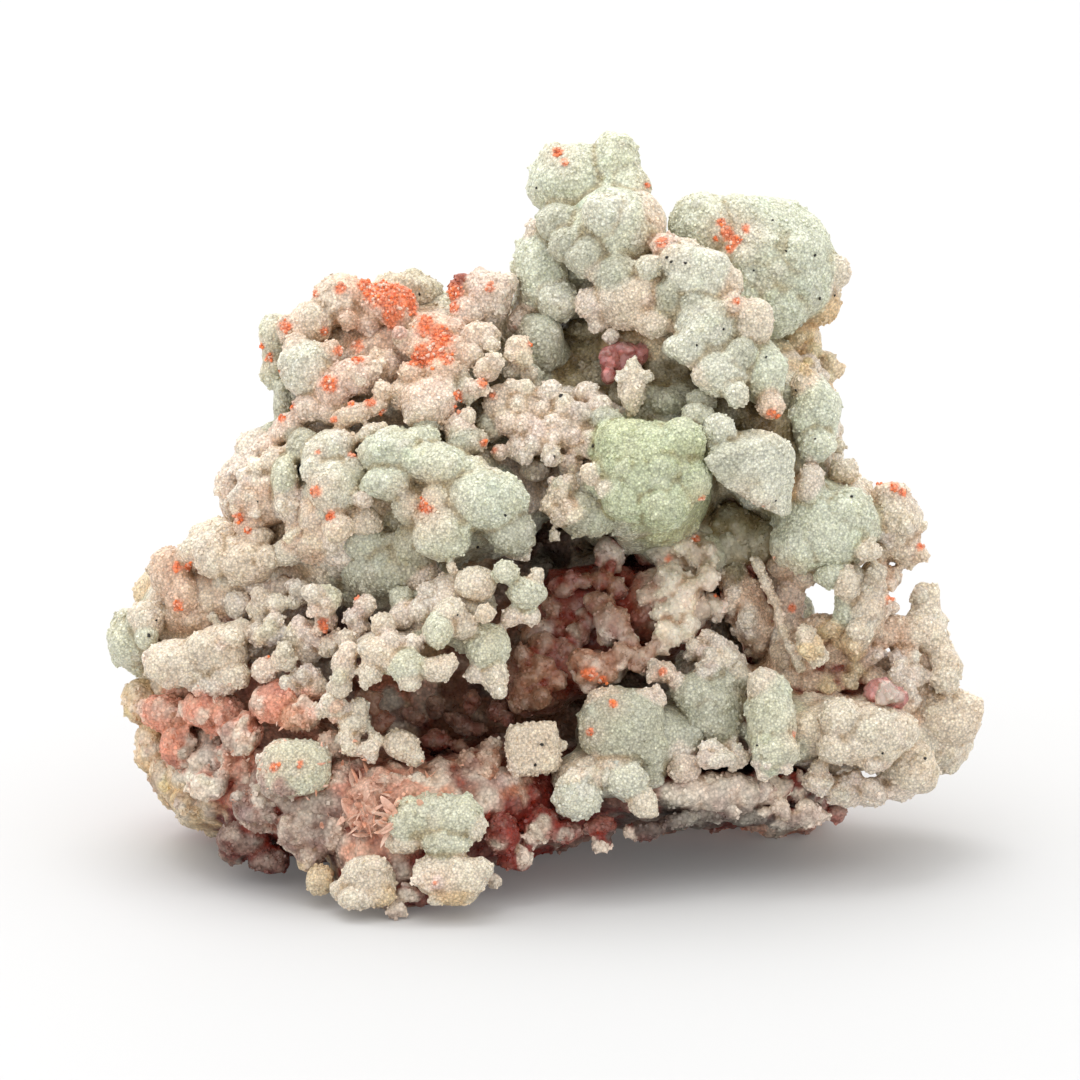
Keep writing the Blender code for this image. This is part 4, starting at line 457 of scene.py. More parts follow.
# Orange spots on the display face: (across, up, radius)
SPOTS = (
    (-13, 49.4, 1.9), (-11.6, 49, 1.6), (-14.2, 50.2, 1.1), (-12.3, 47.6, 1.3), (-10.6, 48.4, 1),
    (-9.8, 46.8, 1.4), (-8.6, 46, 1.5), (-9.6, 44.8, 1.5), (-8.2, 44.6, 1.1), (-10.7, 44.2, 0.7),
    (-7.5, 49.4, 0.9), (-7.6, 48.4, 0.7), (-4.6, 49.9, 0.5), (-17.3, 42.2, 0.9), (-15.1, 45.2, 0.7),
    (-16.6, 44.8, 0.5), (-15, 44.2, 0.7), (-17.8, 46.4, 0.5), (-20.8, 46.8, 0.7), (-22.9, 45.2, 0.4),
    (-18.5, 49.4, 0.4), (-16.5, 49.8, 0.6), (-15.8, 40.6, 0.5), (-14, 40.7, 0.6), (-13.1, 39.9, 0.5),
    (-20.6, 40.5, 0.6), (-21.2, 39.4, 0.5), (-21.8, 37.6, 0.4), (-17, 39.3, 0.4), (-22.2, 44.4, 0.4),
    (-21.5, 43.1, 0.4), (-2.8, 46.6, 0.4), (-1.4, 45.3, 0.4), (-5.2, 42.2, 0.6), (-4.3, 41.2, 0.4),
    (-7, 41.2, 0.5), (-7.2, 40.2, 0.4), (-5, 37.4, 0.4), (-9.8, 32.4, 1), (-4.4, 37, 0.6), (-18.4, 33.6, 0.7),
    (-17.2, 31.7, 0.5), (-15.4, 36.6, 0.4), (-18.2, 36.7, 0.4), (-24.5, 31.5, 0.5), (-23.8, 30.5, 0.4),
    (-29.5, 27.5, 0.5), (-29.4, 24.5, 0.6), (-28.6, 27.6, 0.4), (-22.2, 20.6, 0.4), (-17.8, 23, 0.6),
    (-15.2, 25.3, 0.4), (0.8, 60.7, 0.5), (1.4, 59.9, 0.4), (7.9, 58, 0.4), (9, 53.4, 0.7), (14.3, 54.2, 0.8),
    (15, 53.6, 0.6), (13.8, 55.1, 0.4), (15.8, 54.6, 0.5), (14.6, 53, 0.5), (13.4, 53.8, 0.4),
    (15, 48.7, 0.4), (17.7, 39.8, 0.6), (18.4, 39.4, 0.4), (15.4, 32.9, 0.4), (16.2, 32.5, 0.4),
    (17, 32.2, 0.4), (12.2, 32.9, 0.4), (11.8, 29.9, 0.4), (9.6, 28.3, 0.4), (17.8, 28.2, 0.4),
    (13.5, 25.5, 0.5), (26.4, 34.4, 0.5), (27.6, 34.1, 0.5), (28.4, 33.6, 0.4), (29.7, 29.2, 0.4),
    (27.2, 25, 0.5), (3.4, 14.6, 0.4), (5.2, 16.8, 0.4), (18.9, 27.2, 0.5), (18.9, 25.4, 0.6),
    (19.5, 24.3, 0.5), (3.4, 19.2, 0.7), (4.4, 18.7, 0.5), (9.2, 19.4, 0.5), (19.8, 14.2, 0.5),
    (-21.6, 11.8, 0.5), (-19.5, 12.1, 0.4), (-8.9, 2.7, 0.4), (-12.4, 47, 0.7),
)

# Dark specks on the display face: (across, up, radius)
SPECKS = (
    (9.3, 52.2, 0.17), (9.6, 52, 0.14), (10.9, 52, 0.13), (16.7, 51.1, 0.13), (17.9, 55.5, 0.12),
    (21.6, 52.5, 0.16), (22, 49, 0.15), (23.2, 49.2, 0.12), (18.9, 53, 0.12), (12.1, 45.2, 0.14),
    (14.1, 46.3, 0.12), (17.3, 44.5, 0.14), (0.8, 41.2, 0.14), (0.7, 36.2, 0.15), (3.5, 37.3, 0.16),
    (19.5, 41.7, 0.15), (21.1, 38, 0.12), (24.3, 33.4, 0.14), (18.3, 32.8, 0.13), (-9.8, 42.2, 0.15),
    (-22.9, 33, 0.12), (-31.8, 22, 0.15), (-31, 23.5, 0.12), (-6.9, 23.8, 0.13), (-3.2, 31.5, 0.14),
    (-5.5, 29, 0.12), (-0.2, 13.6, 0.16), (-0.9, 11.8, 0.13), (-10, 49.4, 0.13), (-1.1, 57.9, 0.12),
    (26.7, 12.7, 0.13), (30.3, 12.4, 0.13), (16.4, 13.7, 0.14),
)

# Patches of pink blades on the rock: (across, up, radius, number, length)
FLAKE_PATCHES = (
    (-14.2, 9, 2.2, 60, 1.5), (-13.2, 7, 1.6, 30, 1.4), (-16.2, 12, 2.2, 22, 0.8),
    (-20.5, 15.6, 2.6, 26, 0.7), (-26, 15.4, 3.4, 50, 0.6), (-28.5, 12.6, 3, 30, 0.6),
    (-24.2, 11, 2.6, 24, 0.6), (-10, 10.6, 1.8, 14, 0.9), (-17, 8.4, 2, 18, 0.8), (-4.8, 11, 2, 16, 0.5),
)

# Patches of small beads: (tint, across, up, radius of the patch, number, smallest and largest bead)
BEAD_PATCHES = (
    ("brown", 2.5, 22.6, 3.8, 190, 0.35, 0.8), ("rose", 3.2, 21.4, 3.4, 70, 0.3, 0.75),
    ("brown", -1.4, 19.2, 2.8, 110, 0.35, 0.8), ("rust", 2.5, 24.6, 4.2, 120, 0.3, 0.7),
    ("brown", 6.2, 24.6, 2.8, 80, 0.35, 0.75), ("brown", -6, 15.2, 4.6, 130, 0.3, 0.8),
    ("brown", -11, 15.5, 3.4, 70, 0.3, 0.7), ("cream", 9.8, 24.6, 2.8, 50, 0.35, 0.8),
    ("rose", 12.8, 24.8, 2.2, 50, 0.3, 0.7), ("cream", 11.5, 27.2, 2.4, 30, 0.35, 0.7),
    ("rose", 13.5, 21.8, 3, 50, 0.3, 0.7), ("brown", 6.5, 19.5, 3.4, 70, 0.3, 0.6),
    ("rose", 8.8, 18.9, 1.6, 14, 0.3, 0.6), ("rose", 14.5, 11, 3.2, 34, 0.3, 0.8),
    ("rose", 20.5, 9.6, 2.6, 26, 0.3, 0.8), ("rose", 25.5, 10.2, 2.4, 18, 0.3, 0.8),
    ("cream", 2, 12, 1.8, 12, 0.3, 0.6), ("cream", -22.5, 22.6, 2.6, 22, 0.35, 0.9),
    ("rose", -19.8, 24, 2.4, 24, 0.35, 0.8), ("cream", -16.3, 17.2, 2.2, 30, 0.3, 0.75),
    ("rose", -18.8, 18.4, 2, 22, 0.3, 0.7), ("cream", -14.8, 14.2, 1.8, 20, 0.3, 0.7),
    ("frill", -18.5, 16.6, 2, 24, 0.25, 0.55), ("rose", -15.4, 22, 1.8, 14, 0.35, 0.8),
    ("rose", -24, 33.5, 2.4, 18, 0.3, 0.7), ("cream", -20, 31, 2, 16, 0.35, 0.8),
    ("cream", -14.5, 44, 1.8, 14, 0.3, 0.6), ("rose", -11.5, 47, 2, 22, 0.25, 0.55),
    ("pinkrock", -27, 14.5, 3.4, 60, 0.25, 0.6), ("rose", -25.5, 12, 3, 34, 0.3, 0.8),
    ("greyrose", -22, 8.5, 2.6, 28, 0.3, 0.8), ("cream", -28.2, 10.6, 2, 14, 0.35, 0.8),
    ("rose", -4.5, 11.2, 2, 24, 0.3, 0.6), ("rose", 0, 5.8, 2.4, 20, 0.3, 0.6),
    ("rose", -10.5, 1.6, 2.2, 14, 0.3, 0.6), ("rose", 0.5, 37.5, 3.4, 26, 0.35, 0.8),
    ("cream", -3.5, 42.5, 3, 22, 0.35, 0.8), ("cream", 1.8, 33, 1.8, 10, 0.3, 0.6),
    ("tan", 22.5, 20.4, 2.6, 22, 0.35, 0.8), ("rose", 27.5, 18.8, 2.6, 20, 0.35, 0.8),
    ("cream", 28.5, 28.5, 3, 16, 0.3, 0.7), ("tan", 21.5, 44.5, 2.4, 12, 0.35, 0.8),
)

# The part of the display face that the picture shows: its middle (across, up, out) and its width
VIEW_MIDDLE = (-0.6, 29.76, 0.0)
VIEW_WIDTH = 86.4

CLUSTER_TABLES = (
    CROWN, EGG, RIGHT_COLUMN, RIGHT_WING, LOWER_RIGHT, CENTRE, LEFT_SHOULDER, LEFT_MIDDLE, CHAIN, FAR_LEFT,
)
ALL_FRONT_TABLES = (
    *CLUSTER_TABLES, FRONT_KNOBS, LEFT_BLOCK, BEAD_ROW, CUBE, MATRIX, DRUSE, CAVE_BEADS, HILGARDITE,
    HILGARDITE_RIGHT,
)

# The room that the grids of surroundings cover, in the display face's own places, and their cell
GRID_LOW = np.array((-42.0, -8.0, -32.0))
GRID_HIGH = np.array((42.0, 70.0, 26.0))
GRID_CELL = 0.8

# Square of the depth map that tells which skin the viewer sees, and where the map starts
DEPTH_SQUARE = 0.45
DEPTH_CORNER = np.array((-40.0, -10.0))

# Bulk, what is hollowed out of it, and the tables of the far side, for each heart
HEARTS = (
    (BULK_OF_CLUSTER, HOLLOWS_OF_CLUSTER, (BACK_OF_CLUSTER,)),
    (BULK_OF_MATRIX, HOLLOWS_OF_MATRIX, (BACK_OF_MATRIX,)),
    (BULK_OF_DRUSE, (), ()),
)

# Lumps stand this much inside their stated size, in millimetres, which leaves room for what grows on them
SKIN_INSET = 0.2

# Painted warm shade: creases are darker and warmer than their surroundings by this much of red, green and
# blue
WARM_CREASE_SHADE = np.array((0.93, 0.80, 0.64))

# How surfaces of lumps are made: rings, segments, crystal faces and sharpness
LUMP_SKIN = (17, 30, 26, 6.0)
KNOB_SKIN = (7, 12, 11, 14.0)
HEART_KNOB_SKIN = (7, 12, 9, 14.0)
GRANULE_SKIN = (2, 5, 7, 12.0)
SPECK_SKIN = (3, 7, 8, 12.0)

# Crisp crystals have this many faces, and edges this sharp
CRISP_FACES = 12
CRISP_SHARPNESS = 40.0

# Half sizes differ from round by a factor between these two
SIZE_SPREAD = (0.85, 1.2)

# Share of the middle-sized lumps that take their tint from some other lump
BORROWED_SHARE = 0.4

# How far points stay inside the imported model's box, and over what length they are pressed in, in metres
BOX_INSET = 0.00002
BOX_SOFTNESS = 0.00012


class SpecimenSizes(bpy.types.PropertyGroup):
    """Sizes that a user would change."""

    width: bpy.props.FloatProperty(
        name="Width", description="Overall width of the specimen", default=0.0705, unit="LENGTH", precision=4
    )
    tilt: bpy.props.FloatProperty(
        name="Face tilt",
        description="How far the display face leans back",
        default=math.radians(15.0),
        subtype="ANGLE",
    )
    skin: bpy.props.FloatProperty(
        name="Skin cell", description="Cell size that fuses a group's lumps", default=0.22, min=0.15
    )
    knob_share: bpy.props.FloatProperty(
        name="Knob share", description="Small crystals for each square millimetre of a lump", default=0.5
    )
    knob_size: bpy.props.FloatProperty(
        name="Knob size", description="Radius of a small crystal as a share of its lump", default=0.25
    )
    grain: bpy.props.FloatProperty(
        name="Grain", description="Cell of the sugary relief in millimetres", default=0.85
    )
    grain_height: bpy.props.FloatProperty(
        name="Grain height", description="Height of the sugary relief in millimetres", default=0.07
    )


def colour_property(name, red, green, blue):
    """A colour swatch in display colours."""
    return bpy.props.FloatVectorProperty(
        name=name,
        description="Colour of the " + name.lower(),
        default=(red, green, blue),
        subtype="COLOR_GAMMA",
        size=3,
        min=0.0,
        max=1.0,
    )


class SpecimenColours(bpy.types.PropertyGroup):
    """Colours of the crystals and of the rock."""

    green: colour_property("Pale green lumps", 0.825, 0.835, 0.745)
    pale: colour_property("Palest green lumps", 0.82, 0.815, 0.72)
    white: colour_property("White lumps", 0.85, 0.845, 0.77)
    sage: colour_property("Grey-green lumps", 0.735, 0.73, 0.645)
    lime: colour_property("Yellow-green lump", 0.76, 0.785, 0.64)
    cream: colour_property("Cream lumps", 0.885, 0.825, 0.74)
    tan: colour_property("Tan lumps", 0.87, 0.76, 0.6)
    wood: colour_property("Pinkish brown", 0.86, 0.745, 0.645)
    rose: colour_property("Pinkish lumps", 0.895, 0.83, 0.765)
    blush: colour_property("Pink-white lumps", 0.92, 0.85, 0.775)
    glass: colour_property("Clear lumps", 0.8, 0.77, 0.76)
    rust: colour_property("Rusty lumps", 0.53, 0.15, 0.08)
    crust: colour_property("Orange crusted lumps", 0.88, 0.6, 0.46)
    brown: colour_property("Cave beads", 0.62, 0.44, 0.34)
    # Darker olive of lumps set back in recesses: partly their own tone, partly painted shade
    olive: colour_property("Olive shade lumps", 0.53, 0.475, 0.34)
    pinkrock: colour_property("Pink rock", 0.88, 0.6, 0.5)
    greyrose: colour_property("Grey-pink rock", 0.64, 0.53, 0.48)
    darkrust: colour_property("Dark red rock", 0.42, 0.17, 0.12)
    greyrock: colour_property("Grey rock", 0.37, 0.3, 0.27)
    frill: colour_property("Pink flakes", 0.88, 0.66, 0.56)
    pink: colour_property("Hilgardite", 0.8, 0.52, 0.5)
    # Darkest iron stain; where places are closed in, it stands in for their shade as well
    stain: colour_property("Stain in the caves", 0.13, 0.045, 0.03)
    spot: colour_property("Orange spots", 0.95, 0.48, 0.26)
    speck: colour_property("Dark specks", 0.13, 0.12, 0.1)
    floor: colour_property("Floor", 0.76, 0.76, 0.76)


def linear(colour):
    """Display colour to scene colour: straight below 0.04045, and a 2.4 power above it."""
    value = np.asarray(tuple(colour), dtype=float)
    return np.where(value <= 0.04045, value / 12.92, ((value + 0.055) / 1.055) ** 2.4)


def to_world(places, sizes):
    """Places on the leaning face (across, up, out) in table units, turned upright and scaled to metres."""
    across, up, out = places[..., 0], places[..., 1], places[..., 2]
    sine, cosine = math.sin(sizes.tilt), math.cos(sizes.tilt)
    upright = np.stack((across, up * sine - out * cosine, up * cosine + out * sine), axis=-1)
    return (upright + SHIFT) * (sizes.width / TABLE_WIDTH)


def to_face(points, sizes):
    """The way back: metres to places on the leaning face."""
    upright = points / (sizes.width / TABLE_WIDTH) - SHIFT
    x, y, z = upright[..., 0], upright[..., 1], upright[..., 2]
    sine, cosine = math.sin(sizes.tilt), math.cos(sizes.tilt)
    return np.stack((x, y * sine + z * cosine, z * sine - y * cosine), axis=-1)


def tube_faces(rings, segments):
    """Faces of a closed grid: quads between its rings of points, and a fan of triangles round each pole.

    Points are numbered ring by ring. Then come the pole at the first ring and the pole at the last one.
    """
    ring, step = np.meshgrid(np.arange(rings - 1), np.arange(segments), indexing="ij")
    after = (step + 1) % segments
    near, far = ring * segments, (ring + 1) * segments
    quads = np.stack((near + step, far + step, far + after, near + after), axis=-1).reshape(-1, 4)
    turn = np.arange(segments)
    turn_after = (turn + 1) % segments
    top = np.full(segments, rings * segments)
    last = (rings - 1) * segments
    first_fan = np.stack((top, turn, turn_after), axis=-1)
    last_fan = np.stack((top + 1, last + turn_after, last + turn), axis=-1)
    return quads, np.vstack((first_fan, last_fan))


def ball_grid(rings, segments):
    """Directions on a unit ball from two parameters, polar angle and longitude, with a point at each pole."""
    polar = np.linspace(0.0, math.pi, rings + 2)[1:-1]
    longitude = np.arange(segments) * (2.0 * math.pi / segments)
    polar, longitude = np.meshgrid(polar, longitude, indexing="ij")
    sine = np.sin(polar)
    body = np.stack((sine * np.cos(longitude), sine * np.sin(longitude), np.cos(polar)), axis=-1)
    return np.vstack((body.reshape(-1, 3), (0.0, 0.0, 1.0), (0.0, 0.0, -1.0)))


def face_planes(count, lumps, rng):
    """Unit normals of each lump's crystal faces: an even spiral, shaken and turned at random."""
    index = np.arange(count) + 0.5
    polar = np.arccos(1.0 - 2.0 * index / count)
    longitude = index * math.pi * (1.0 + math.sqrt(5.0))
    sine = np.sin(polar)
    spiral = np.stack((sine * np.cos(longitude), sine * np.sin(longitude), np.cos(polar)), axis=-1)
    normals = spiral[None] + rng.normal(0.0, 0.22, (lumps, count, 3))
    normals = np.einsum("lij,lkj->lki", random_turns(lumps, rng), normals)
    return normals / np.linalg.norm(normals, axis=-1, keepdims=True)


def random_turns(count, rng):
    """Random rotation matrices: the axes of three random vectors made square by QR."""
    turns, _ = np.linalg.qr(rng.normal(size=(count, 3, 3)))
    return turns


def crystal_radius(directions, normals, sharpness):
    """Radius of a soft polyhedron in each direction d, for face normals n.

    r = (sum over faces of max(0, n.d) ** sharpness) ** (-1 / sharpness). A high sharpness gives flat faces
    and crisp edges, a low one a pebble. The result is divided by its mean, so lumps keep their stated size.
    """
    reach = np.clip(np.einsum("pj,lkj->lpk", directions, normals), 0.0, None)
    radius = (reach**sharpness).sum(axis=-1) ** (-1.0 / sharpness)
    return radius / radius.mean(axis=1, keepdims=True)


class Lumps:
    """Arrays that describe a set of lumps: middles, half sizes, turns, squareness, stretch and colours."""

    def __init__(self, middles, halves, turns, squares, stretch, colours):
        self.middles = middles
        self.halves = halves
        self.turns = turns
        self.squares = squares
        self.stretch = stretch
        self.colours = colours

    def only(self, chosen):
        """The chosen lumps alone."""
        return Lumps(*(values[chosen] for values in vars(self).values()))

    def __len__(self):
        return len(self.middles)


def pebbles(middles, halves, colours, rng, square=ROUND):
    """Lumps of one squareness at given middles, each turned at random on the face."""
    count = len(middles)
    turns = rng.uniform(0.0, math.pi, count)
    return Lumps(middles, halves, turns, np.full(count, square), np.ones(count), colours)


def full_rows(front_tables, back_tables):
    """Rows of lump tables in full: (tint, across, up, surface, half sizes, turn, squareness, way, stretch).

    A missing half height equals the half width, and the half depth is the root of their product. The way
    leads from the stated surface to the middle: -1 behind a front, 1 before a back.
    """
    for tables, way, stretch in ((front_tables, -1.0, BACK_STRETCH), (back_tables, 1.0, 1.0)):
        for tint, across, up, surface, width, *rest in (row for table in tables for row in table):
            height, turn, square = (*rest, *(width, 0.0, ROUND)[len(rest) :])
            halves = (width, height, math.sqrt(width * height))
            yield tint, across, up, surface, halves, math.radians(turn), square, way, stretch


def read_lumps(front_tables, back_tables, colours):
    """Turns table rows into arrays. The middle lies one half depth behind a front, or before a back."""
    rows = []
    for tint, across, up, surface, halves, turn, square, way, stretch in full_rows(front_tables, back_tables):
        middle = (across, up, surface + way * halves[2])
        rows.append((middle, halves, turn, square, stretch, linear(getattr(colours, tint))))
    middles, halves, turns, squares, stretch, tints = (np.array(column) for column in zip(*rows))
    return Lumps(middles, np.maximum(halves - SKIN_INSET, halves * 0.85), turns, squares, stretch, tints)


def dome(side, rise, width, height):
    """Height of a unit dome over an ellipse, 1 - (side / width)^2 - (rise / height)^2 under a root.

    The second result says which places lie over the ellipse.
    """
    away = (side / width) ** 2 + (rise / height) ** 2
    return np.sqrt(np.clip(1.0 - away, 0.0, 1.0)), away < 1.0


def heart_front(across, up, heart):
    """How far a heart stands out at places: the foremost of its bulk, dug back by its hollows."""
    bulk, hollows, _far_tables = heart
    depth = np.full(len(across), EMPTY)
    for middle_across, middle_up, out, width, height, half_depth in bulk:
        bulge, over = dome(across - middle_across, up - middle_up, width, height)
        depth = np.maximum(depth, np.where(over, out + half_depth * bulge, EMPTY))
    # Twice, because a hollow can lay bare a place that another one digs out
    for middle_across, middle_up, out, width, height, half_depth in hollows * 2:
        bulge, over = dome(across - middle_across, up - middle_up, width, height)
        reach = half_depth * bulge
        dug = over & (depth > out - reach) & (depth < out + reach)
        depth = np.where(dug, out - reach, depth)
    return depth


def table_front(across, up, table):
    """How far the foremost lump of a table stands out at places."""
    depth = np.full(len(across), EMPTY)
    for _tint, middle_across, middle_up, front, halves, turn, *_others in full_rows((table,), ()):
        width, height, half_depth = halves
        side, rise = across - middle_across, up - middle_up
        first = side * math.cos(turn) + rise * math.sin(turn)
        second = rise * math.cos(turn) - side * math.sin(turn)
        bulge, over = dome(first, second, width, height)
        depth = np.maximum(depth, np.where(over, front - half_depth * (1.0 - bulge), EMPTY))
    return depth


def front_of(across, up):
    """For places on the face: how far the foremost lump or bulk stands out, and the number of its table."""
    best = np.full(len(across), EMPTY)
    owner = np.full(len(across), -1)
    sources = [(heart_front, heart) for heart in HEARTS]
    sources += [(table_front, table) for table in ALL_FRONT_TABLES]
    for number, (measure, source) in enumerate(sources):
        depth = measure(across, up, source)
        owner = np.where(depth > best, number, owner)
        best = np.maximum(best, depth)
    return best, owner


@functools.lru_cache(maxsize=1)
def sown_beads():
    """The beads of all patches as rows (tint, middle, radius, owner), sown evenly over each round patch."""
    rng = np.random.default_rng(7)
    rows = []
    # Brown beads stay in the caves: on the hearts, in the druse and on the rock
    dark_places = [len(HEARTS) + ALL_FRONT_TABLES.index(table) for table in (MATRIX, DRUSE, CAVE_BEADS)]
    deep = [*range(len(HEARTS)), *dark_places]
    for tint, across, up, patch, number, smallest, largest in BEAD_PATCHES:
        away = patch * np.sqrt(rng.random(number))
        angle = rng.uniform(0.0, 2.0 * math.pi, number)
        place_across, place_up = across + away * np.cos(angle), up + away * np.sin(angle)
        radius = smallest + (largest - smallest) * rng.random(number) ** 1.6
        front, owner = front_of(place_across, place_up)
        kept = (front > EMPTY) & (np.isin(owner, deep) | (tint not in ("brown", "rust")))
        middles = np.stack((place_across, place_up, front - SKIN_INSET + radius * 0.25), axis=1)
        rows += list(zip([tint] * kept.sum(), middles[kept], radius[kept], owner[kept]))
    return rows


def beads_of(owners, colours, rng):
    """The beads that sit on the given tables, as lumps."""
    rows = [row for row in sown_beads() if row[3] in owners]
    if not rows:
        return None
    tints, middles, radius, _owners = zip(*rows)
    shade = 1.0 + rng.normal(0.0, 0.09, (len(rows), 1)) + rng.normal(0.0, 0.02, (len(rows), 3))
    tints = np.array([linear(getattr(colours, tint)) for tint in tints]) * shade
    halves = np.array(radius)[:, None] * rng.uniform(*SIZE_SPREAD, (len(rows), 3))
    return pebbles(np.array(middles), halves, np.clip(tints, 0.0, 1.0), rng)


def place_offsets(local, stretch, turns):
    """Offsets from the middle of a lump: what lies behind it is stretched, and all are turned on the face."""
    local[..., 2] *= np.where(local[..., 2] > 0.0, 1.0, stretch)
    cosine, sine = np.cos(turns), np.sin(turns)
    across = local[..., 0] * cosine - local[..., 1] * sine
    up = local[..., 0] * sine + local[..., 1] * cosine
    return np.stack((across, up, local[..., 2]), axis=-1)


def lump_points(lumps, directions, radius):
    """Surface points of each lump: direction times radius times half size, stretched backwards and turned."""
    local = directions[None] * radius[..., None] * lumps.halves[:, None, :]
    return place_offsets(local, lumps.stretch[:, None], lumps.turns[:, None]) + lumps.middles[:, None, :]


def box_planes(count, rng):
    """Face normals of soft-cornered blocks: the six axis directions, very slightly shaken."""
    axes = np.vstack((np.eye(3), -np.eye(3)))
    normals = axes[None] + rng.normal(0.0, 0.03, (count, 6, 3))
    return normals / np.linalg.norm(normals, axis=-1, keepdims=True)


def lump_skin(lumps, rings, segments, faces, sharpness, rng):
    """Grid surfaces of all lumps at once, as (points, quads, caps).

    Rows with a squareness above ROUND become blocks, those below it crisp crystals and the rest pebbles.
    """
    directions = ball_grid(rings, segments)
    radius = crystal_radius(directions, face_planes(faces, len(lumps), rng), sharpness)
    blocky = lumps.squares > ROUND
    if blocky.any():
        planes = box_planes(int(blocky.sum()), rng)
        reach = np.clip(np.einsum("pj,lkj->lpk", directions, planes), 0.0, None)
        square = lumps.squares[blocky, None, None]
        radius[blocky] = (reach**square).sum(axis=-1) ** (-1.0 / square[..., 0])
    crisp = lumps.squares < ROUND
    if crisp.any():
        planes = face_planes(CRISP_FACES, int(crisp.sum()), rng)
        radius[crisp] = crystal_radius(directions, planes, CRISP_SHARPNESS)
    return lump_points(lumps, directions, radius), *tube_faces(rings, segments)


def scatter_knobs(lumps, rng, share, size, swing, largest=0.95):
    """Small crystals on the lumps: random directions on each, with a radius that grows with the lump.

    The number follows the lump's area, with fewer on big lumps and none on crisp crystals. A knob's middle
    sits just under the lump's skin. On a big lump the knobs lie almost flush, on a small one they stand out.
    """
    mean = np.cbrt(lumps.halves.prod(axis=1))
    count = np.round(4.0 * math.pi * mean**2 * share * (1.0 - 0.45 * smooth_step(1.6, 3.4, mean)))
    count = np.where(lumps.squares < ROUND, 0, np.clip(count, 3, 150)).astype(int)
    owner = np.repeat(np.arange(len(lumps)), count)
    direction = rng.normal(size=(len(owner), 3))
    direction /= np.linalg.norm(direction, axis=1, keepdims=True)
    radius = np.clip(mean[owner] * size, 0.30, largest) * rng.uniform(0.5, 1.4, len(owner))
    outward = place_offsets(direction * lumps.halves[owner], lumps.stretch[owner], lumps.turns[owner])
    sink = 1.0 - (0.62 + 0.22 * smooth_step(2.2, 4.5, mean[owner])) * radius / mean[owner]
    halves = radius[:, None] * rng.uniform(0.85, 1.18, (len(owner), 3))
    shade = rng.normal(0.0, swing, (len(owner), 1)) + rng.normal(0.0, swing * 0.3, (len(owner), 3))
    tints = np.clip(lumps.colours[owner] * (1.0 + shade), 0.0, 1.0)
    return pebbles(lumps.middles[owner] + outward * sink[:, None], halves, tints, rng, CRISP)


def join_lumps(*lump_sets):
    """One set of lumps out of several."""
    columns = zip(*(vars(lumps).values() for lumps in lump_sets))
    return Lumps(*(np.concatenate(column) for column in columns))


def stack_meshes(parts):
    """One list of points and faces out of several grids of lumps."""
    points, faces, start = [], [], 0
    for grid_points, quads, caps in parts:
        lumps, per_lump = grid_points.shape[:2]
        offset = start + np.arange(lumps)[:, None, None] * per_lump
        faces.append((quads[None] + offset).reshape(-1, 4))
        faces.append((caps[None] + offset).reshape(-1, 3))
        points.append(grid_points.reshape(-1, 3))
        start += lumps * per_lump
    return np.concatenate(points), faces


def new_mesh(name, points, face_arrays):
    """A mesh from whole arrays: points, then every face as a run of corners."""
    mesh = bpy.data.meshes.new(name)
    mesh.vertices.add(len(points))
    mesh.vertices.foreach_set("co", np.asarray(points, dtype=np.float32).ravel())
    corners = np.concatenate([faces.ravel() for faces in face_arrays])
    sizes = np.concatenate([np.full(len(faces), faces.shape[1]) for faces in face_arrays])
    starts = np.concatenate(((0,), np.cumsum(sizes)[:-1]))
    mesh.loops.add(len(corners))
    mesh.loops.foreach_set("vertex_index", corners.astype(np.int32))
    mesh.polygons.add(len(sizes))
    mesh.polygons.foreach_set("loop_start", starts.astype(np.int32))
    mesh.polygons.foreach_set("loop_total", sizes.astype(np.int32))
    mesh.update(calc_edges=True)
    return mesh


def read_array(values, key, width, kind=np.float32):
    """One value of every member of a mesh's list, as an array with a row for each."""
    array = np.empty(len(values) * width, dtype=kind)
    values.foreach_get(key, array)
    return array.reshape(-1, width)


def read_points(mesh):
    """All vertex places of a mesh, as an array."""
    return read_array(mesh.vertices, "co", 3).astype(float)


def read_normals(mesh):
    """All vertex normals of a mesh, as an array."""
    return read_array(mesh.vertex_normals, "vector", 3).astype(float)


def fuse(obj, cell):
    """Fuses overlapping closed surfaces into one skin."""
    remesh = obj.modifiers.new("fuse", "REMESH")
    remesh.mode = "VOXEL"
    remesh.voxel_size = cell
    graph = bpy.context.evaluated_depsgraph_get()
    mesh = bpy.data.meshes.new_from_object(obj.evaluated_get(graph))
    obj.modifiers.clear()
    old = obj.data
    obj.data = mesh
    bpy.data.meshes.remove(old)


def move_points(mesh, points):
    """Gives a mesh new vertex places."""
    mesh.vertices.foreach_set("co", points.astype(np.float32).ravel())
    mesh.update()


def cell_random(cells, seed):
    """Three repeatable random numbers from 0 to 1 for each integer cell, by mixing its coordinates."""
    across, up, out = cells[..., 0], cells[..., 1], cells[..., 2]
    mixed = (across * 73856093) ^ (up * 19349663) ^ (out * 83492791) ^ (seed * 9176)
    values = []
    for turn in (1, 2, 3):
        hashed = (mixed + turn * 974711) & 0x7FFFFFFF
        hashed = ((hashed ^ (hashed >> 13)) * 1274126177) & 0x7FFFFFFF
        hashed = ((hashed ^ (hashed >> 16)) * 668265263) & 0x7FFFFFFF
        values.append(hashed / float(0x7FFFFFFF))
    return np.stack(values, axis=-1)


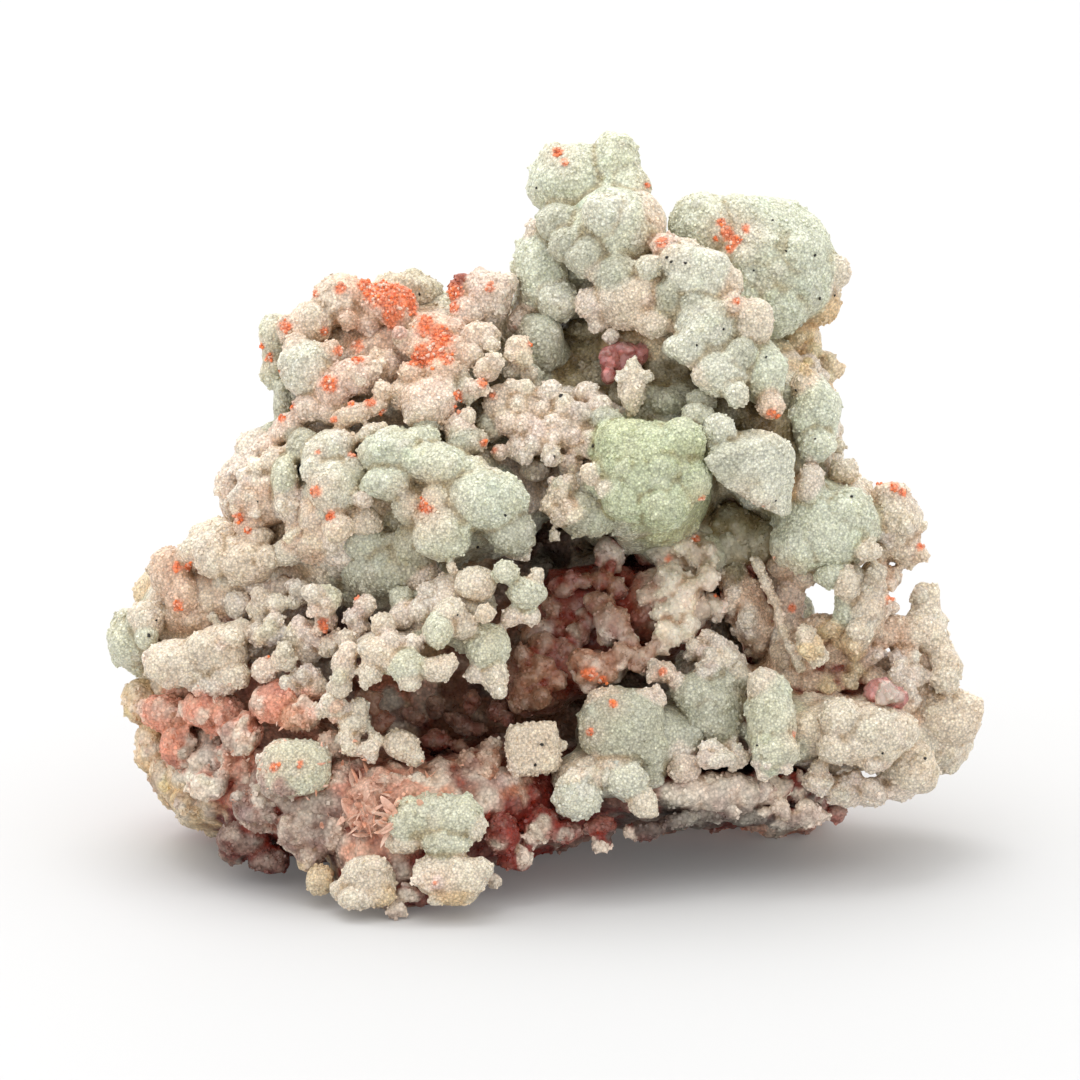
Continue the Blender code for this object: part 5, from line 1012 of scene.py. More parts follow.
def cell_facets(points, cell, seed):
    """Height of a relief of small crystal faces, in cells, and a random number for each crystal.

    Every integer cell holds one random point. Around the nearest such point the height is a dome,
    0.6 * sqrt(1 - distance ** 2), plus a plane with that crystal's own slope, which gives flat faces that
    meet in creases.
    """
    scaled = points / cell
    base = np.floor(scaled).astype(np.int64)
    nearest = np.full(len(points), 9.0)
    plane = np.zeros(len(points))
    label = np.zeros(len(points))
    for offset in np.ndindex(3, 3, 3):
        cells = base + np.array(offset) - 1
        jitter = cell_random(cells, seed)
        away = scaled - cells - jitter
        gap = np.linalg.norm(away, axis=1)
        closer = gap < nearest
        slope = (jitter[:, (1, 2, 0)] * 13.0) % 1.0 - 0.5
        nearest = np.where(closer, gap, nearest)
        plane = np.where(closer, (away * slope).sum(axis=1), plane)
        label = np.where(closer, jitter[:, 0] * 7.0 % 1.0, label)
    dome = np.sqrt(np.clip(1.0 - nearest**2, 0.0, 1.0))
    return 0.6 * dome + plane * 1.1 + 0.25 * (label - 0.5), label


def soft_noise(points, cell, seed):
    """Smooth noise from 0 to 1: random values at cell corners, blended by a smooth step along each axis."""
    scaled = points / cell
    base = np.floor(scaled).astype(np.int64)
    part = scaled - base
    part = part * part * (3.0 - 2.0 * part)
    total = np.zeros(len(points))
    for corner in np.ndindex(2, 2, 2):
        weight = np.prod(np.where(np.array(corner) == 1, part, 1.0 - part), axis=1)
        total += weight * cell_random(base + np.array(corner), seed)[:, 0]
    return total


def blend_colours(places, lumps):
    """Each point's colour, from the lumps whose surface is nearest.

    A lump's nearness is the length of the offset divided by its half sizes, less one, times its mean half
    size. The weight falls off as exp(-(nearness - smallest) / 0.1). Points come in runs that lie close
    together, so each run only looks at the lumps that reach its box.
    """
    run = 1500
    colours = np.empty((len(places), 3))
    scale = lumps.halves.mean(axis=1)
    reach = lumps.halves.copy()
    reach[:, 2] *= lumps.stretch
    low, high = lumps.middles - reach - 0.6, lumps.middles + reach + 0.6
    for start in range(0, len(places), run):
        part = places[start : start + run]
        near = np.all((low < part.max(axis=0)) & (high > part.min(axis=0)), axis=1)
        if not near.any():
            near[:] = True
        offset = part[:, None, :] - lumps.middles[near]
        offset[..., 2] = np.where(offset[..., 2] > 0.0, offset[..., 2], offset[..., 2] / lumps.stretch[near])
        away = (np.sqrt(((offset / lumps.halves[near]) ** 2).sum(axis=-1)) - 1.0) * scale[near]
        weight = np.exp((away.min(axis=1, keepdims=True) - away) / 0.1)
        weight /= weight.sum(axis=1, keepdims=True)
        colours[start : start + run] = weight @ lumps.colours[near]
    return colours


def paint(mesh, colours):
    """Stores a colour for each vertex, which the material reads."""
    layer = mesh.color_attributes.new("tint", "FLOAT_COLOR", "POINT")
    values = np.ones((len(colours), 4), dtype=np.float32)
    values[:, :3] = colours
    layer.data.foreach_set("color", values.ravel())


def fill_ellipsoids(grid, table_rows, value):
    """Sets the cells of a grid whose middles lie in any of the ellipsoids (across, up, out, half sizes)."""
    for row in table_rows:
        middle, half = np.array(row[:3]), np.array(row[3:])
        first = np.clip(np.floor((middle - half - GRID_LOW) / GRID_CELL).astype(int), 0, None)
        last = np.minimum(np.ceil((middle + half - GRID_LOW) / GRID_CELL).astype(int) + 1, grid.shape)
        axes = []
        for axis in range(3):
            cells = np.arange(first[axis], last[axis]) + 0.5
            axes.append((GRID_LOW[axis] + cells * GRID_CELL - middle[axis]) / half[axis])
        across, up, out = np.ix_(*axes)
        window = grid[first[0] : last[0], first[1] : last[1], first[2] : last[2]]
        window[across**2 + up**2 + out**2 < 1.0] = value


def box_blur(grid, reach):
    """Mean over a cube of cells, by running sums along each axis."""
    for axis in range(3):
        moved = np.moveaxis(grid, axis, 0)
        padded = np.concatenate((np.repeat(moved[:1], reach + 1, 0), moved, np.repeat(moved[-1:], reach, 0)))
        sums = np.cumsum(padded, axis=0)
        grid = np.moveaxis((sums[2 * reach + 1 :] - sums[: -2 * reach - 1]) / (2 * reach + 1), 0, axis)
    return grid


@functools.lru_cache(maxsize=1)
def solid_share():
    """Grids that say how full of crystal the surroundings of a place are, near by and farther off."""
    grid = np.zeros(tuple(((GRID_HIGH - GRID_LOW) / GRID_CELL).astype(int)), dtype=np.float32)
    fill_ellipsoids(grid, BULK_OF_CLUSTER + BULK_OF_MATRIX + BULK_OF_DRUSE, 1.0)
    fill_ellipsoids(grid, HOLLOWS_OF_CLUSTER + HOLLOWS_OF_MATRIX, 0.0)
    rows = []
    tables = full_rows(ALL_FRONT_TABLES, (BACK_OF_CLUSTER, BACK_OF_MATRIX))
    for _tint, across, up, surface, halves, _turn, _square, way, stretch in tables:
        depth = halves[2] * (1.0 + stretch) / 2.0
        rows.append((across, up, surface + way * depth, *halves[:2], depth))
    fill_ellipsoids(grid, rows, 1.0)
    near = box_blur(box_blur(grid, 1), 1)
    far = box_blur(box_blur(near, 4), 4)
    return near, far


def sample_grid(grid, places):
    """Values of a grid at places, blended from the eight cells around each."""
    scaled = (places - GRID_LOW) / GRID_CELL - 0.5
    base = np.clip(np.floor(scaled).astype(int), 0, np.array(grid.shape) - 2)
    part = np.clip(scaled - base, 0.0, 1.0)
    total = np.zeros(len(places))
    for corner in np.ndindex(2, 2, 2):
        corner = np.array(corner)
        weight = np.prod(np.where(corner == 1, part, 1.0 - part), axis=1)
        index = base + corner
        total += weight * grid[index[:, 0], index[:, 1], index[:, 2]]
    return total


def smooth_step(low, high, values):
    """0 below low, 1 above high, and 3t2 - 2t3 between them."""
    part = np.clip((values - low) / (high - low), 0.0, 1.0)
    return part * part * (3.0 - 2.0 * part)


def mix(first, second, share):
    """Blend of two colours, or of a colour for each point, by a share for each point."""
    return first + (second - first) * share[:, None]


def stain_field(places):
    """Strength of the iron stain at places: the largest of strength * exp(-(distance / radius) ** 2)."""
    field = np.zeros(len(places))
    for across, up, out, radius, strength in STAINS:
        away = ((places - (across, up, out)) ** 2).sum(axis=1)
        field = np.maximum(field, strength * np.exp(-away / radius**2))
    return field


@functools.lru_cache(maxsize=1)
def spot_fronts():
    """How far the skin stands out at each orange spot: the foremost of five places round its middle."""
    across, up, radius = np.array(SPOTS).T
    around = ((0, 0), (1, 0), (-1, 0), (0, 1), (0, -1))
    return np.max([front_of(across + radius * side, up + radius * rise)[0] for side, rise in around], axis=0)


def away_from_spots(places):
    """For each orange spot, every place's distance from it and the spot's radius.

    Depth counts with 0.6 of itself, once it differs by more than a millimetre from the skin at the spot.
    """
    for (across, up, radius), front in zip(SPOTS, spot_fronts()):
        sunk = np.maximum(np.abs(places[:, 2] - front) - 1.0, 0.0) * 0.6
        yield np.sqrt((places[:, 0] - across) ** 2 + (places[:, 1] - up) ** 2 + sunk**2), radius


def spot_field(places):
    """How much orange lies on each place: 1 within a ragged radius round a spot, falling to 0 at its edge."""
    ragged = soft_noise(places, 0.8, 5) + soft_noise(places, 0.35, 6) * 0.7
    field = np.zeros(len(places))
    for away, radius in away_from_spots(places):
        field = np.maximum(field, smooth_step(0.0, 0.5, 1.37 - away / radius - ragged * 0.55))
    return field


def spot_halo(places):
    """Faint warm stain round the orange spots: the largest of exp(-(distance / twice the radius) ** 2)."""
    field = np.zeros(len(places))
    for away, radius in away_from_spots(places):
        field = np.maximum(field, min(radius, 1.0) * np.exp(-((away / (2.0 * radius + 0.4)) ** 2)))
    return field


def neighbour_average(mesh):
    """A function that gives, for a value on every point of a mesh, the mean over the point's neighbours."""
    first, second = read_array(mesh.edges, "vertices", 2, np.int32).T
    size = len(mesh.vertices)
    number = np.maximum(np.bincount(first, minlength=size) + np.bincount(second, minlength=size), 1)

    def average(values):
        if values.ndim > 1:
            return np.stack([average(column) for column in values.T], axis=1)
        return (np.bincount(first, values[second], size) + np.bincount(second, values[first], size)) / number

    return average


def inward_bend(points, normals, average):
    """How much a skin curves inwards at each point, in millimetres, over a short and over a longer distance.

    That is the normal's share of the way to the mean of the point's neighbours, evened out over some rounds.
    """
    bend = ((average(points) - points) * normals).sum(axis=1) / MM
    results = []
    for rounds in (2, 10):
        for _ in range(rounds):
            bend = 0.4 * bend + 0.6 * average(bend)
        results.append(bend)
    return results


def shade_colours(places, outward, base, bump, bends, colours, seed, dirty, mixed):
    """Final colours of a skin, from its base colours.

    Broad mottling; warmer, darker creases and places closed in by other lumps, which is painted shade; paler
    convex tops, partly frosting and partly a painted highlight; a lighter top on the fine relief, painted
    light;
    iron stain where a place is closed in and near a cave, whose darkest stage and the darkening of the caves
    are painted shade too; and orange spots on what faces the viewer. Rock is mixed with pale and with dark
    red patches. outward is the normal in the leaning face's own directions.
    """
    near, far = solid_share()
    fine_bend, broad_bend = bends
    gap = smooth_step(0.0, 0.018, fine_bend) * 0.5 + smooth_step(0.0, 0.009, broad_bend) * 0.6
    top = smooth_step(0.0, 0.030, -fine_bend) * 0.5 + smooth_step(0.0, 0.014, -broad_bend) * 0.5
    crease = smooth_step(0.42, 0.80, sample_grid(near, places + outward * 0.8))
    cave = smooth_step(0.46, 0.78, sample_grid(far, places + outward * 1.6))
    mottle = soft_noise(places, 2.3, seed + 11) - 0.5
    fine = soft_noise(places, 0.7, seed + 12) - 0.5
    result = base
    if mixed:
        # Pale patches at random, stronger on convex tops
        pale_part = smooth_step(0.50, 0.72, soft_noise(places, 1.0, seed + 13)) * (0.4 + 0.6 * top)
        dark_part = smooth_step(0.55, 0.8, soft_noise(places, 1.5, seed + 14))
        pale_part *= smooth_step(0.08, 0.28, base.mean(axis=1))
        result = mix(result, linear(colours.blush), pale_part * mixed)
        result = mix(result, linear(colours.darkrust), dark_part * mixed * 0.6)
    # Convex tops are mixed towards white, partly frosting and partly a painted highlight; the rest is random
    # mottling
    result = mix(result, linear(colours.white), np.clip(mottle * 0.5 + top * 0.22, 0.0, 0.4))
    result = mix(result, linear(colours.crust), spot_halo(places) * 0.38)
    # Painted warm shade in creases and closed-in places, and warmer patches at random where the mottling is
    # low
    result = mix(result, result * WARM_CREASE_SHADE, np.clip(-mottle * 0.6 + crease * 0.7 + gap, 0.0, 1.0))
    # Random fine tone; and the raised parts of the fine relief are a little lighter, painted light, with a
    # random share for each crystal
    result = result * (1.0 + fine[:, None] * 0.08) * (0.96 + 0.05 * bump[:, None])
    # Painted shade: darker in creases and where other lumps close a place in
    result = result * (1.0 - 0.26 * gap[:, None]) * (1.0 - 0.16 * crease[:, None])
    stain = stain_field(places)
    closed = np.clip(crease * 0.55 + cave * 0.75 + gap * 0.25 - top * 0.2, 0.0, 1.0)
    rusty = np.clip(stain * (closed * 1.25 + dirty) + (fine + mottle) * 0.30 * stain, 0.0, 0.93)
    result = mix(result, linear(colours.rust), smooth_step(0.10, 0.55, rusty) * 0.85)
    # Darkest stage: iron stain, and in closed-in places painted shade as well
    result = mix(result, linear(colours.stain), smooth_step(0.55, 0.95, rusty) * 0.9)
    # Painted shade: the caves are darkened, most where the stain is strong
    result = result * (1.0 - 0.85 * smooth_step(0.2, 0.6, cave * stain)[:, None])
    facing = smooth_step(-0.35, 0.25, outward[:, 2])
    spots = spot_field(places) * facing
    return mix(result, linear(colours.spot), np.clip(spots, 0.0, 0.8))


def soft_limit(values, low, high, softness):
    """Presses values inside low and high without folding: v becomes high - s ln(1 + exp((high - v) / s))."""
    top = high - softness * np.logaddexp(0.0, (high - values) / softness)
    return low + softness * np.logaddexp(0.0, (top - low) / softness)


def keep_in_box(points):
    """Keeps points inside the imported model's box, and rests the underside flat on the floor."""
    low, high = np.array(CAD_LOW) + BOX_INSET, np.array(CAD_HIGH) - BOX_INSET
    kept = points.copy()
    for axis in (0, 1):
        kept[:, axis] = soft_limit(points[:, axis], low[axis], high[axis], BOX_SOFTNESS)
    kept[:, 2] = high[2] - BOX_SOFTNESS * np.logaddexp(0.0, (high[2] - points[:, 2]) / BOX_SOFTNESS)
    kept[:, 2] = np.maximum(kept[:, 2], low[2])
    return kept


class Growth(typing.NamedTuple):
    """How a group grows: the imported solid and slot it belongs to, its finish, and what its skin is like.

    dirty adds iron stain; knobs, cell and grain are shares of the sizes in the sidebar; mixed is the share of
    pale and dark patches; swing and wander are how far the tint differs and drifts; melt and fill are rounds.
    """

    node: str
    slot: str
    finish: str
    dirty: float = 0.0
    knobs: float = 1.0
    cell: float = 1.0
    grain: float = 1.0
    mixed: float = 0.0
    swing: float = 0.055
    wander: float = 0.5
    melt: int = 1
    fill: int = 10


def link_piece(name, mesh, finish, slot, nodes, skin=False):
    """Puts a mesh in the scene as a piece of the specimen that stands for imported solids."""
    obj = bpy.data.objects.new(name, mesh)
    bpy.context.scene.collection.objects.link(obj)
    mesh.materials.clear()
    mesh.materials.append(crystal_material(finish))
    mesh.shade_smooth()
    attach(obj, BODY)
    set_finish(obj, slot)
    if nodes:
        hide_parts(*nodes)
    if skin:
        obj["skin"] = True
    return obj


def fused_object(name, points, faces, sizes, cell):
    """An object made of loose closed surfaces on the face, fused."""
    obj = bpy.data.objects.new(name, new_mesh(name, to_world(points, sizes), faces))
    bpy.context.scene.collection.objects.link(obj)
    fuse(obj, cell * sizes.width / TABLE_WIDTH)
    return obj


def fused_mesh(name, points, faces, sizes, cell):
    """The mesh of a fused object. The object itself is taken away again."""
    holder = fused_object(name, points, faces, sizes, cell)
    mesh = holder.data
    bpy.data.objects.remove(holder)
    return mesh


def finish_skin(mesh, lumps, settings, seed, growth):
    """Finishes a fused skin: melts it a little, fills its creases, raises its relief, and paints it."""
    sizes, colours = settings
    average = neighbour_average(mesh)
    points = read_points(mesh)
    normals = read_normals(mesh)
    bends = inward_bend(points, normals, average)
    for _ in range(growth.melt):
        points = 0.5 * points + 0.5 * average(points)
    for _ in range(growth.fill):
        inward = ((average(points) - points) * normals).sum(axis=1)
        points = points + normals * np.maximum(inward, 0.0)[:, None]
    move_points(mesh, points)
    normals = read_normals(mesh)
    places = to_face(points, sizes)
    outward = to_face(points + normals * MM, sizes) - places
    outward /= np.linalg.norm(outward, axis=1, keepdims=True)
    grain = sizes.grain * growth.grain
    coarse, crystal = cell_facets(places, grain, seed + 3)
    small, _ = cell_facets(places, grain * 0.5, seed + 4)
    swell = soft_noise(places, 1.5, seed + 21) - 0.5
    # Height of the fine relief, with a random share for each crystal; the skin's colour is painted lighter
    # where it is high
    bump = np.clip(coarse * 0.8 + small * 0.6 - 0.1, 0.0, 1.0) * 0.7 + crystal * 0.3
    height = ((coarse - 0.4) * 1.5 + (small - 0.4) * 0.9 + swell * 3.0) * sizes.grain_height * growth.grain
    move_points(mesh, keep_in_box(points + normals * (height * MM)[:, None]))
    drift = np.stack([soft_noise(places, 1.6, seed + axis) for axis in (31, 32, 33)], axis=1) - 0.5
    base = blend_colours(places + drift * 2.0 * growth.wander, lumps)
    paint(mesh, shade_colours(places, outward, base, bump, bends, colours, seed, growth.dirty, growth.mixed))


def settings_of(context):
    """The sizes and colours in the sidebar."""
    return context.scene.specimen_sizes, context.scene.specimen_colours


def behind_front(middles, radius):
    """Which lumps the display face covers all round, so that none shows past its outline or openings."""
    covered = np.ones(len(middles), dtype=bool)
    for angle in np.arange(8) * math.pi / 4.0:
        side, rise = radius * math.cos(angle), radius * math.sin(angle)
        covered &= front_of(middles[:, 0] + side, middles[:, 1] + rise)[0] > EMPTY
    return covered


def add_companions(lumps, rng):
    """Sows lumps of middle size over big ones. Each takes the tint of its own lump or of another one."""
    extra = scatter_knobs(lumps, rng, 0.09, 0.42, 0.05, 2.2)
    extra = extra.only(behind_front(extra.middles, extra.halves.max(axis=1) + 0.6))
    extra.squares[:] = ROUND
    borrowed = lumps.colours[rng.integers(len(lumps), size=len(extra))]
    extra.colours = np.where(rng.random((len(extra), 1)) < BORROWED_SHARE, borrowed, extra.colours)
    return join_lumps(lumps, extra)


def far_companions(places, lumps, rng):
    """Lumps of middle size, sown over the far part of a heart, in the tints of the far side's lumps."""
    far = np.flatnonzero(places[:, 2] < -3.0)
    chosen = rng.choice(far, size=len(far) // 110, replace=False)
    middles = places[chosen[behind_front(places[chosen], 3.0)]]
    radius = rng.uniform(0.8, 2.0, (len(middles), 1))
    near = blend_colours(middles, lumps)
    borrowed = lumps.colours[rng.integers(len(lumps), size=len(middles))]
    extra = pebbles(middles, radius * rng.uniform(*SIZE_SPREAD, (len(middles), 3)), near, rng)
    extra.colours = np.where(rng.random((len(middles), 1)) < BORROWED_SHARE, borrowed, near)
    return extra


def grow_group(context, name, table, seed, growth, far_side=False):
    """One crystal group: lumps with small crystals and beads on them, fused, with relief and colours."""
    settings = settings_of(context)
    sizes, colours = settings
    rng = np.random.default_rng(seed)
    lumps = read_lumps(() if far_side else (table,), (table,) if far_side else (), colours)
    if far_side:
        lumps = add_companions(lumps, rng)
    knobs = scatter_knobs(lumps, rng, sizes.knob_share * growth.knobs, sizes.knob_size, growth.swing)
    owners = [number for number, owner in enumerate(ALL_FRONT_TABLES, start=len(HEARTS)) if owner is table]
    beads = beads_of(owners, colours, rng)
    if beads:
        knobs = join_lumps(knobs, beads)
    points, faces = stack_meshes((lump_skin(lumps, *LUMP_SKIN, rng), lump_skin(knobs, *KNOB_SKIN, rng)))
    mesh = fused_mesh(name, points, faces, sizes, sizes.skin * growth.cell)
    finish_skin(mesh, join_lumps(lumps, knobs), settings, seed, growth)
    return link_piece(name, mesh, growth.finish, growth.slot, [growth.node], skin=True)


def ellipsoid_object(name, rows, sizes):
    """A fused object out of plain ellipsoids (across, up, out, half sizes)."""
    middles = np.array([row[:3] for row in rows])
    halves = np.array([row[3:] for row in rows])
    grid = ball_grid(*LUMP_SKIN[:2])[None] * halves[:, None, :] + middles[:, None, :]
    points, faces = stack_meshes(((grid, *tube_faces(*LUMP_SKIN[:2])),))
    return fused_object(name, points, faces, sizes, 0.6)


def grow_heart(context, name, number, tinted, seed, growth, knob_size):
    """The bulk behind the lumps: ellipsoids with hollows cut in them, covered with small crystals."""
    settings = settings_of(context)
    sizes, colours = settings
    rng = np.random.default_rng(seed)
    bulk, hollows, far_tables = HEARTS[number]
    heart = ellipsoid_object(name, bulk, sizes)
    if hollows:
        cutter = ellipsoid_object("hollow_cutter", hollows, sizes)
        cut = heart.modifiers.new("hollows", "BOOLEAN")
        cut.operation = "DIFFERENCE"
        cut.object = cutter
        cut.solver = "MANIFOLD"
        fuse(heart, 0.5 * sizes.width / TABLE_WIDTH)
        bpy.data.objects.remove(cutter)
    places = to_face(read_points(heart.data), sizes)
    chosen = rng.choice(len(places), size=int(len(places) * 0.055), replace=False)
    radius = knob_size * rng.uniform(0.55, 1.4, (len(chosen), 1))
    tints = blend_colours(places[chosen], read_lumps(tinted, far_tables, colours))
    grains = pebbles(places[chosen], radius * rng.uniform(*SIZE_SPREAD, (len(chosen), 3)), tints, rng)
    grains.colours = np.clip(tints * (1.0 + rng.normal(0.0, 0.06, (len(chosen), 1))), 0.0, 1.0)
    if far_tables:
        grains = join_lumps(grains, far_companions(places, read_lumps((), far_tables, colours), rng))
    beads = beads_of([number], colours, rng)
    if beads:
        grains = join_lumps(grains, beads)
    points, faces = stack_meshes((lump_skin(grains, *HEART_KNOB_SKIN, rng),))
    faces.append(read_array(heart.data.loops, "vertex_index", 1, np.int32).reshape(-1, 4) + len(points))
    mesh = fused_mesh(name, np.vstack((points, places)), faces, sizes, sizes.skin * growth.cell)
    bpy.data.objects.remove(heart)
    finish_skin(mesh, grains, settings, seed, growth)
    return link_piece(name, mesh, growth.finish, growth.slot, [growth.node], skin=True)


class Finish(typing.NamedTuple):
    """A surface of tiny crystal faces.

    cell is their size in millimetres and tilt how far each turns the normal. smooth and rough are the least
    and the greatest roughness, bump the strength of the finer grain, tint the swing of the tint, gap how dark
    the painted shade in the gaps is, the next field how much brighter a painted highlight makes the colour of
    the brightest faces, and sockets the shader's own inputs.
    """

    cell: float
    tilt: float
    smooth: float
    rough: float
    bump: float
    tint: float
    gap: float
    glint: float
    sockets: dict


def see_through(weight, radius, scale, ior):
    """Inputs of a shader that lets light in: its share, reach by colour, scale in mm, and refraction."""
    return {
        "Subsurface Weight": weight,
        "Subsurface Radius": radius,
        "Subsurface Scale": scale * MM,
        "IOR": ior,
    }


# Loose grains are too small to let light through, so they have none of that
FINISHES = {
    "pale_crystal_sugar": Finish(
        0.19, 0.9, 0.22, 0.60, 0.7, 0.13, 0.34, 0.35, see_through(0.5, (1.0, 0.88, 0.66), 1.2, 1.62)
    ),
    "loose_sugar": Finish(0.20, 0.4, 0.16, 0.50, 0.2, 0.05, 0.05, 0.30, {"IOR": 1.62}),
    "rough_rock": Finish(0.26, 0.9, 0.30, 0.85, 0.7, 0.16, 0.25, 0.35, {"IOR": 1.55}),
    "bead_coat": Finish(
        0.24, 0.5, 0.18, 0.55, 0.35, 0.08, 0.15, 0.3, see_through(0.25, (1.0, 0.6, 0.4), 0.7, 1.6)
    ),
    "iron_crust": Finish(0.14, 0.6, 0.45, 0.9, 0.5, 0.14, 0.2, 0.3, {}),
    "rose_crystal": Finish(
        0.4, 0.5, 0.08, 0.35, 0.2, 0.12, 0.1, 0.6,
        {"Transmission Weight": 0.35, **see_through(0.3, (1.0, 0.4, 0.4), 0.6, 1.64)},
    ),
    "fine_specks": Finish(0.12, 0.4, 0.25, 0.6, 0.3, 0.2, 0.2, 0.3, {}),
}


def feed(tree, socket, source):
    """Links a source to an input, or sets the input to a plain value."""
    if isinstance(source, bpy.types.NodeSocket):
        tree.links.new(source, socket)
    else:
        socket.default_value = source


def add_node(tree, kind, *sources, **settings):
    """A shader node. Sources go to its first inputs.

    A setting is one of the node's own, or of the input of that name with underscores for spaces.
    """
    node = tree.nodes.new("ShaderNode" + kind)
    for key, value in settings.items():
        if hasattr(node, key):
            setattr(node, key, value)
        else:
            feed(tree, node.inputs[key.replace("_", " ")], value)
    for source, socket in zip(sources, node.inputs):
        feed(tree, socket, source)
    return node


def new_material(name):
    """A material with nothing but its shader, and that shader."""
    material = bpy.data.materials.new(name)
    material.use_nodes = True
    material.node_tree.nodes.clear()
    shader = add_node(material.node_tree, "BsdfPrincipled")
    add_node(material.node_tree, "OutputMaterial", shader.outputs["BSDF"])
    return material, shader


def crystal_nodes(tree, shader, finish):
    """Nodes for a surface of tiny crystal faces.

    Each cell of a fine pattern tilts the normal its own way, has its own gloss and a slightly different tint,
    and its colour is darker towards the gaps between the cells, which is painted shade; the brightest cells
    get a painted highlight in their colour. A still finer grain is laid over it as bump.
    """
    place = add_node(tree, "TexCoord").outputs["Object"]
    cells = add_node(tree, "TexVoronoi", place, feature="F1", Scale=1.0 / (finish.cell * MM), Randomness=1.0)
    centred = add_node(tree, "VectorMath", cells.outputs["Color"], (0.5, 0.5, 0.5), operation="SUBTRACT")
    scaled = add_node(tree, "VectorMath", centred.outputs[0], operation="SCALE", Scale=finish.tilt)
    surface = add_node(tree, "NewGeometry").outputs["Normal"]
    tilted = add_node(tree, "VectorMath", surface, scaled.outputs[0], operation="ADD")
    normal = add_node(tree, "VectorMath", tilted.outputs[0], operation="NORMALIZE")
    finer = 1.0 / (finish.cell * 0.9 * MM)
    grain = add_node(tree, "TexNoise", place, Scale=finer, Detail=4.0, Roughness=0.65)
    bump = add_node(tree, "Bump", Strength=finish.bump, Distance=finish.cell * 0.5 * MM)
    feed(tree, bump.inputs["Height"], grain.outputs["Fac"])
    feed(tree, bump.inputs["Normal"], normal.outputs[0])
    split = add_node(tree, "SeparateColor", cells.outputs["Color"])
    gloss = add_node(tree, "MapRange", split.outputs["Green"], To_Min=finish.smooth, To_Max=finish.rough)
    darkest, lightest = 1.0 - finish.tint, 1.0 + finish.tint
    swing = add_node(tree, "MapRange", split.outputs["Blue"], To_Min=darkest, To_Max=lightest)
    # Painted shade: the colour darkens towards the gaps between the cells
    gap = add_node(tree, "MapRange", cells.outputs["Distance"], From_Min=0.15, From_Max=0.85)
    feed(tree, gap.inputs["To Min"], 1.0 + finish.gap * 0.7)
    feed(tree, gap.inputs["To Max"], 1.0 - finish.gap)
    # Painted highlight: the brightest cells get a lighter colour, standing in for sparkle
    bright = 1.0 + finish.glint
    glint = add_node(tree, "MapRange", split.outputs["Red"], From_Min=0.86, To_Min=1.0, To_Max=bright)
    both = add_node(tree, "Math", swing.outputs["Result"], gap.outputs["Result"], operation="MULTIPLY")
    light = add_node(tree, "Math", both.outputs[0], glint.outputs["Result"], operation="MULTIPLY")
    tint = add_node(tree, "Attribute", attribute_name="tint").outputs["Color"]
    colour = add_node(tree, "VectorMath", tint, operation="SCALE", Scale=light.outputs[0])
    feed(tree, shader.inputs["Normal"], bump.outputs["Normal"])
    feed(tree, shader.inputs["Roughness"], gloss.outputs["Result"])
    feed(tree, shader.inputs["Base Color"], colour.outputs[0])


def crystal_material(name):
    """The material of the named finish, built the first time it is asked for."""
    found = bpy.data.materials.get(name)
    if found:
        return found
    material, shader = new_material(name)
    finish = FINISHES[name]
    crystal_nodes(material.node_tree, shader, finish)
    for socket, value in finish.sockets.items():
        shader.inputs[socket].default_value = value
    return material


def floor_material(colours):
    """A pale matt floor. It is slightly lit from below too, which keeps the shadow pale."""
    material, shader = new_material("pale_floor")
    tree = material.node_tree
    grain = add_node(tree, "TexNoise", add_node(tree, "TexCoord").outputs["Object"], Scale=6.0, Detail=2.0)
    gloss = add_node(tree, "MapRange", grain.outputs["Fac"], To_Min=0.55, To_Max=0.7)
    feed(tree, shader.inputs["Roughness"], gloss.outputs["Result"])
    shader.inputs["Base Color"].default_value = (*linear(colours.floor), 1.0)
    shader.inputs["Specular IOR Level"].default_value = 0.1
    shader.inputs["Emission Color"].default_value = (1.0, 0.985, 0.97, 1.0)
    shader.inputs["Emission Strength"].default_value = 0.07
    return material


def grown_skins():
    """The pieces grown so far that are skins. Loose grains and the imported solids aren't."""
    return [obj for obj in bpy.data.objects if obj.type == "MESH" and "skin" in obj]


def skin_points(sizes, slot=None):
    """Points of the grown skins of one slot, or of all: (places, outward, tints, seen).

    A depth map over the display face keeps the nearest skin in each small square; a point counts as seen when
    it lies within a short way of that and faces the viewer.
    """
    places, outward, tints, wanted = [], [], [], []
    for obj in grown_skins():
        points = read_points(obj.data)
        here = to_face(points, sizes)
        normal = to_face(points + read_normals(obj.data) * MM, sizes) - here
        places.append(here)
        outward.append(normal / np.linalg.norm(normal, axis=1, keepdims=True))
        tints.append(read_array(obj.data.color_attributes["tint"].data, "color", 4)[:, :3])
        wanted.append(np.full(len(points), slot is None or obj["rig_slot"] == slot))
    places, outward, tints, wanted = (np.concatenate(x) for x in (places, outward, tints, wanted))
    column, row = ((places[:, :2] - DEPTH_CORNER) / DEPTH_SQUARE).astype(int).T
    nearest = np.full((column.max() + 1, row.max() + 1), -1e9)
    np.maximum.at(nearest, (column, row), places[:, 2])
    seen = (places[:, 2] > nearest[column, row] - 0.7) & (outward[:, 2] > -0.1)
    return places[wanted], outward[wanted], tints[wanted], seen[wanted]


def seen_skin(sizes):
    """Places and outward directions of all skin points that a viewer of the display face sees."""
    places, outward, _tints, seen = skin_points(sizes)
    return places[seen], outward[seen]


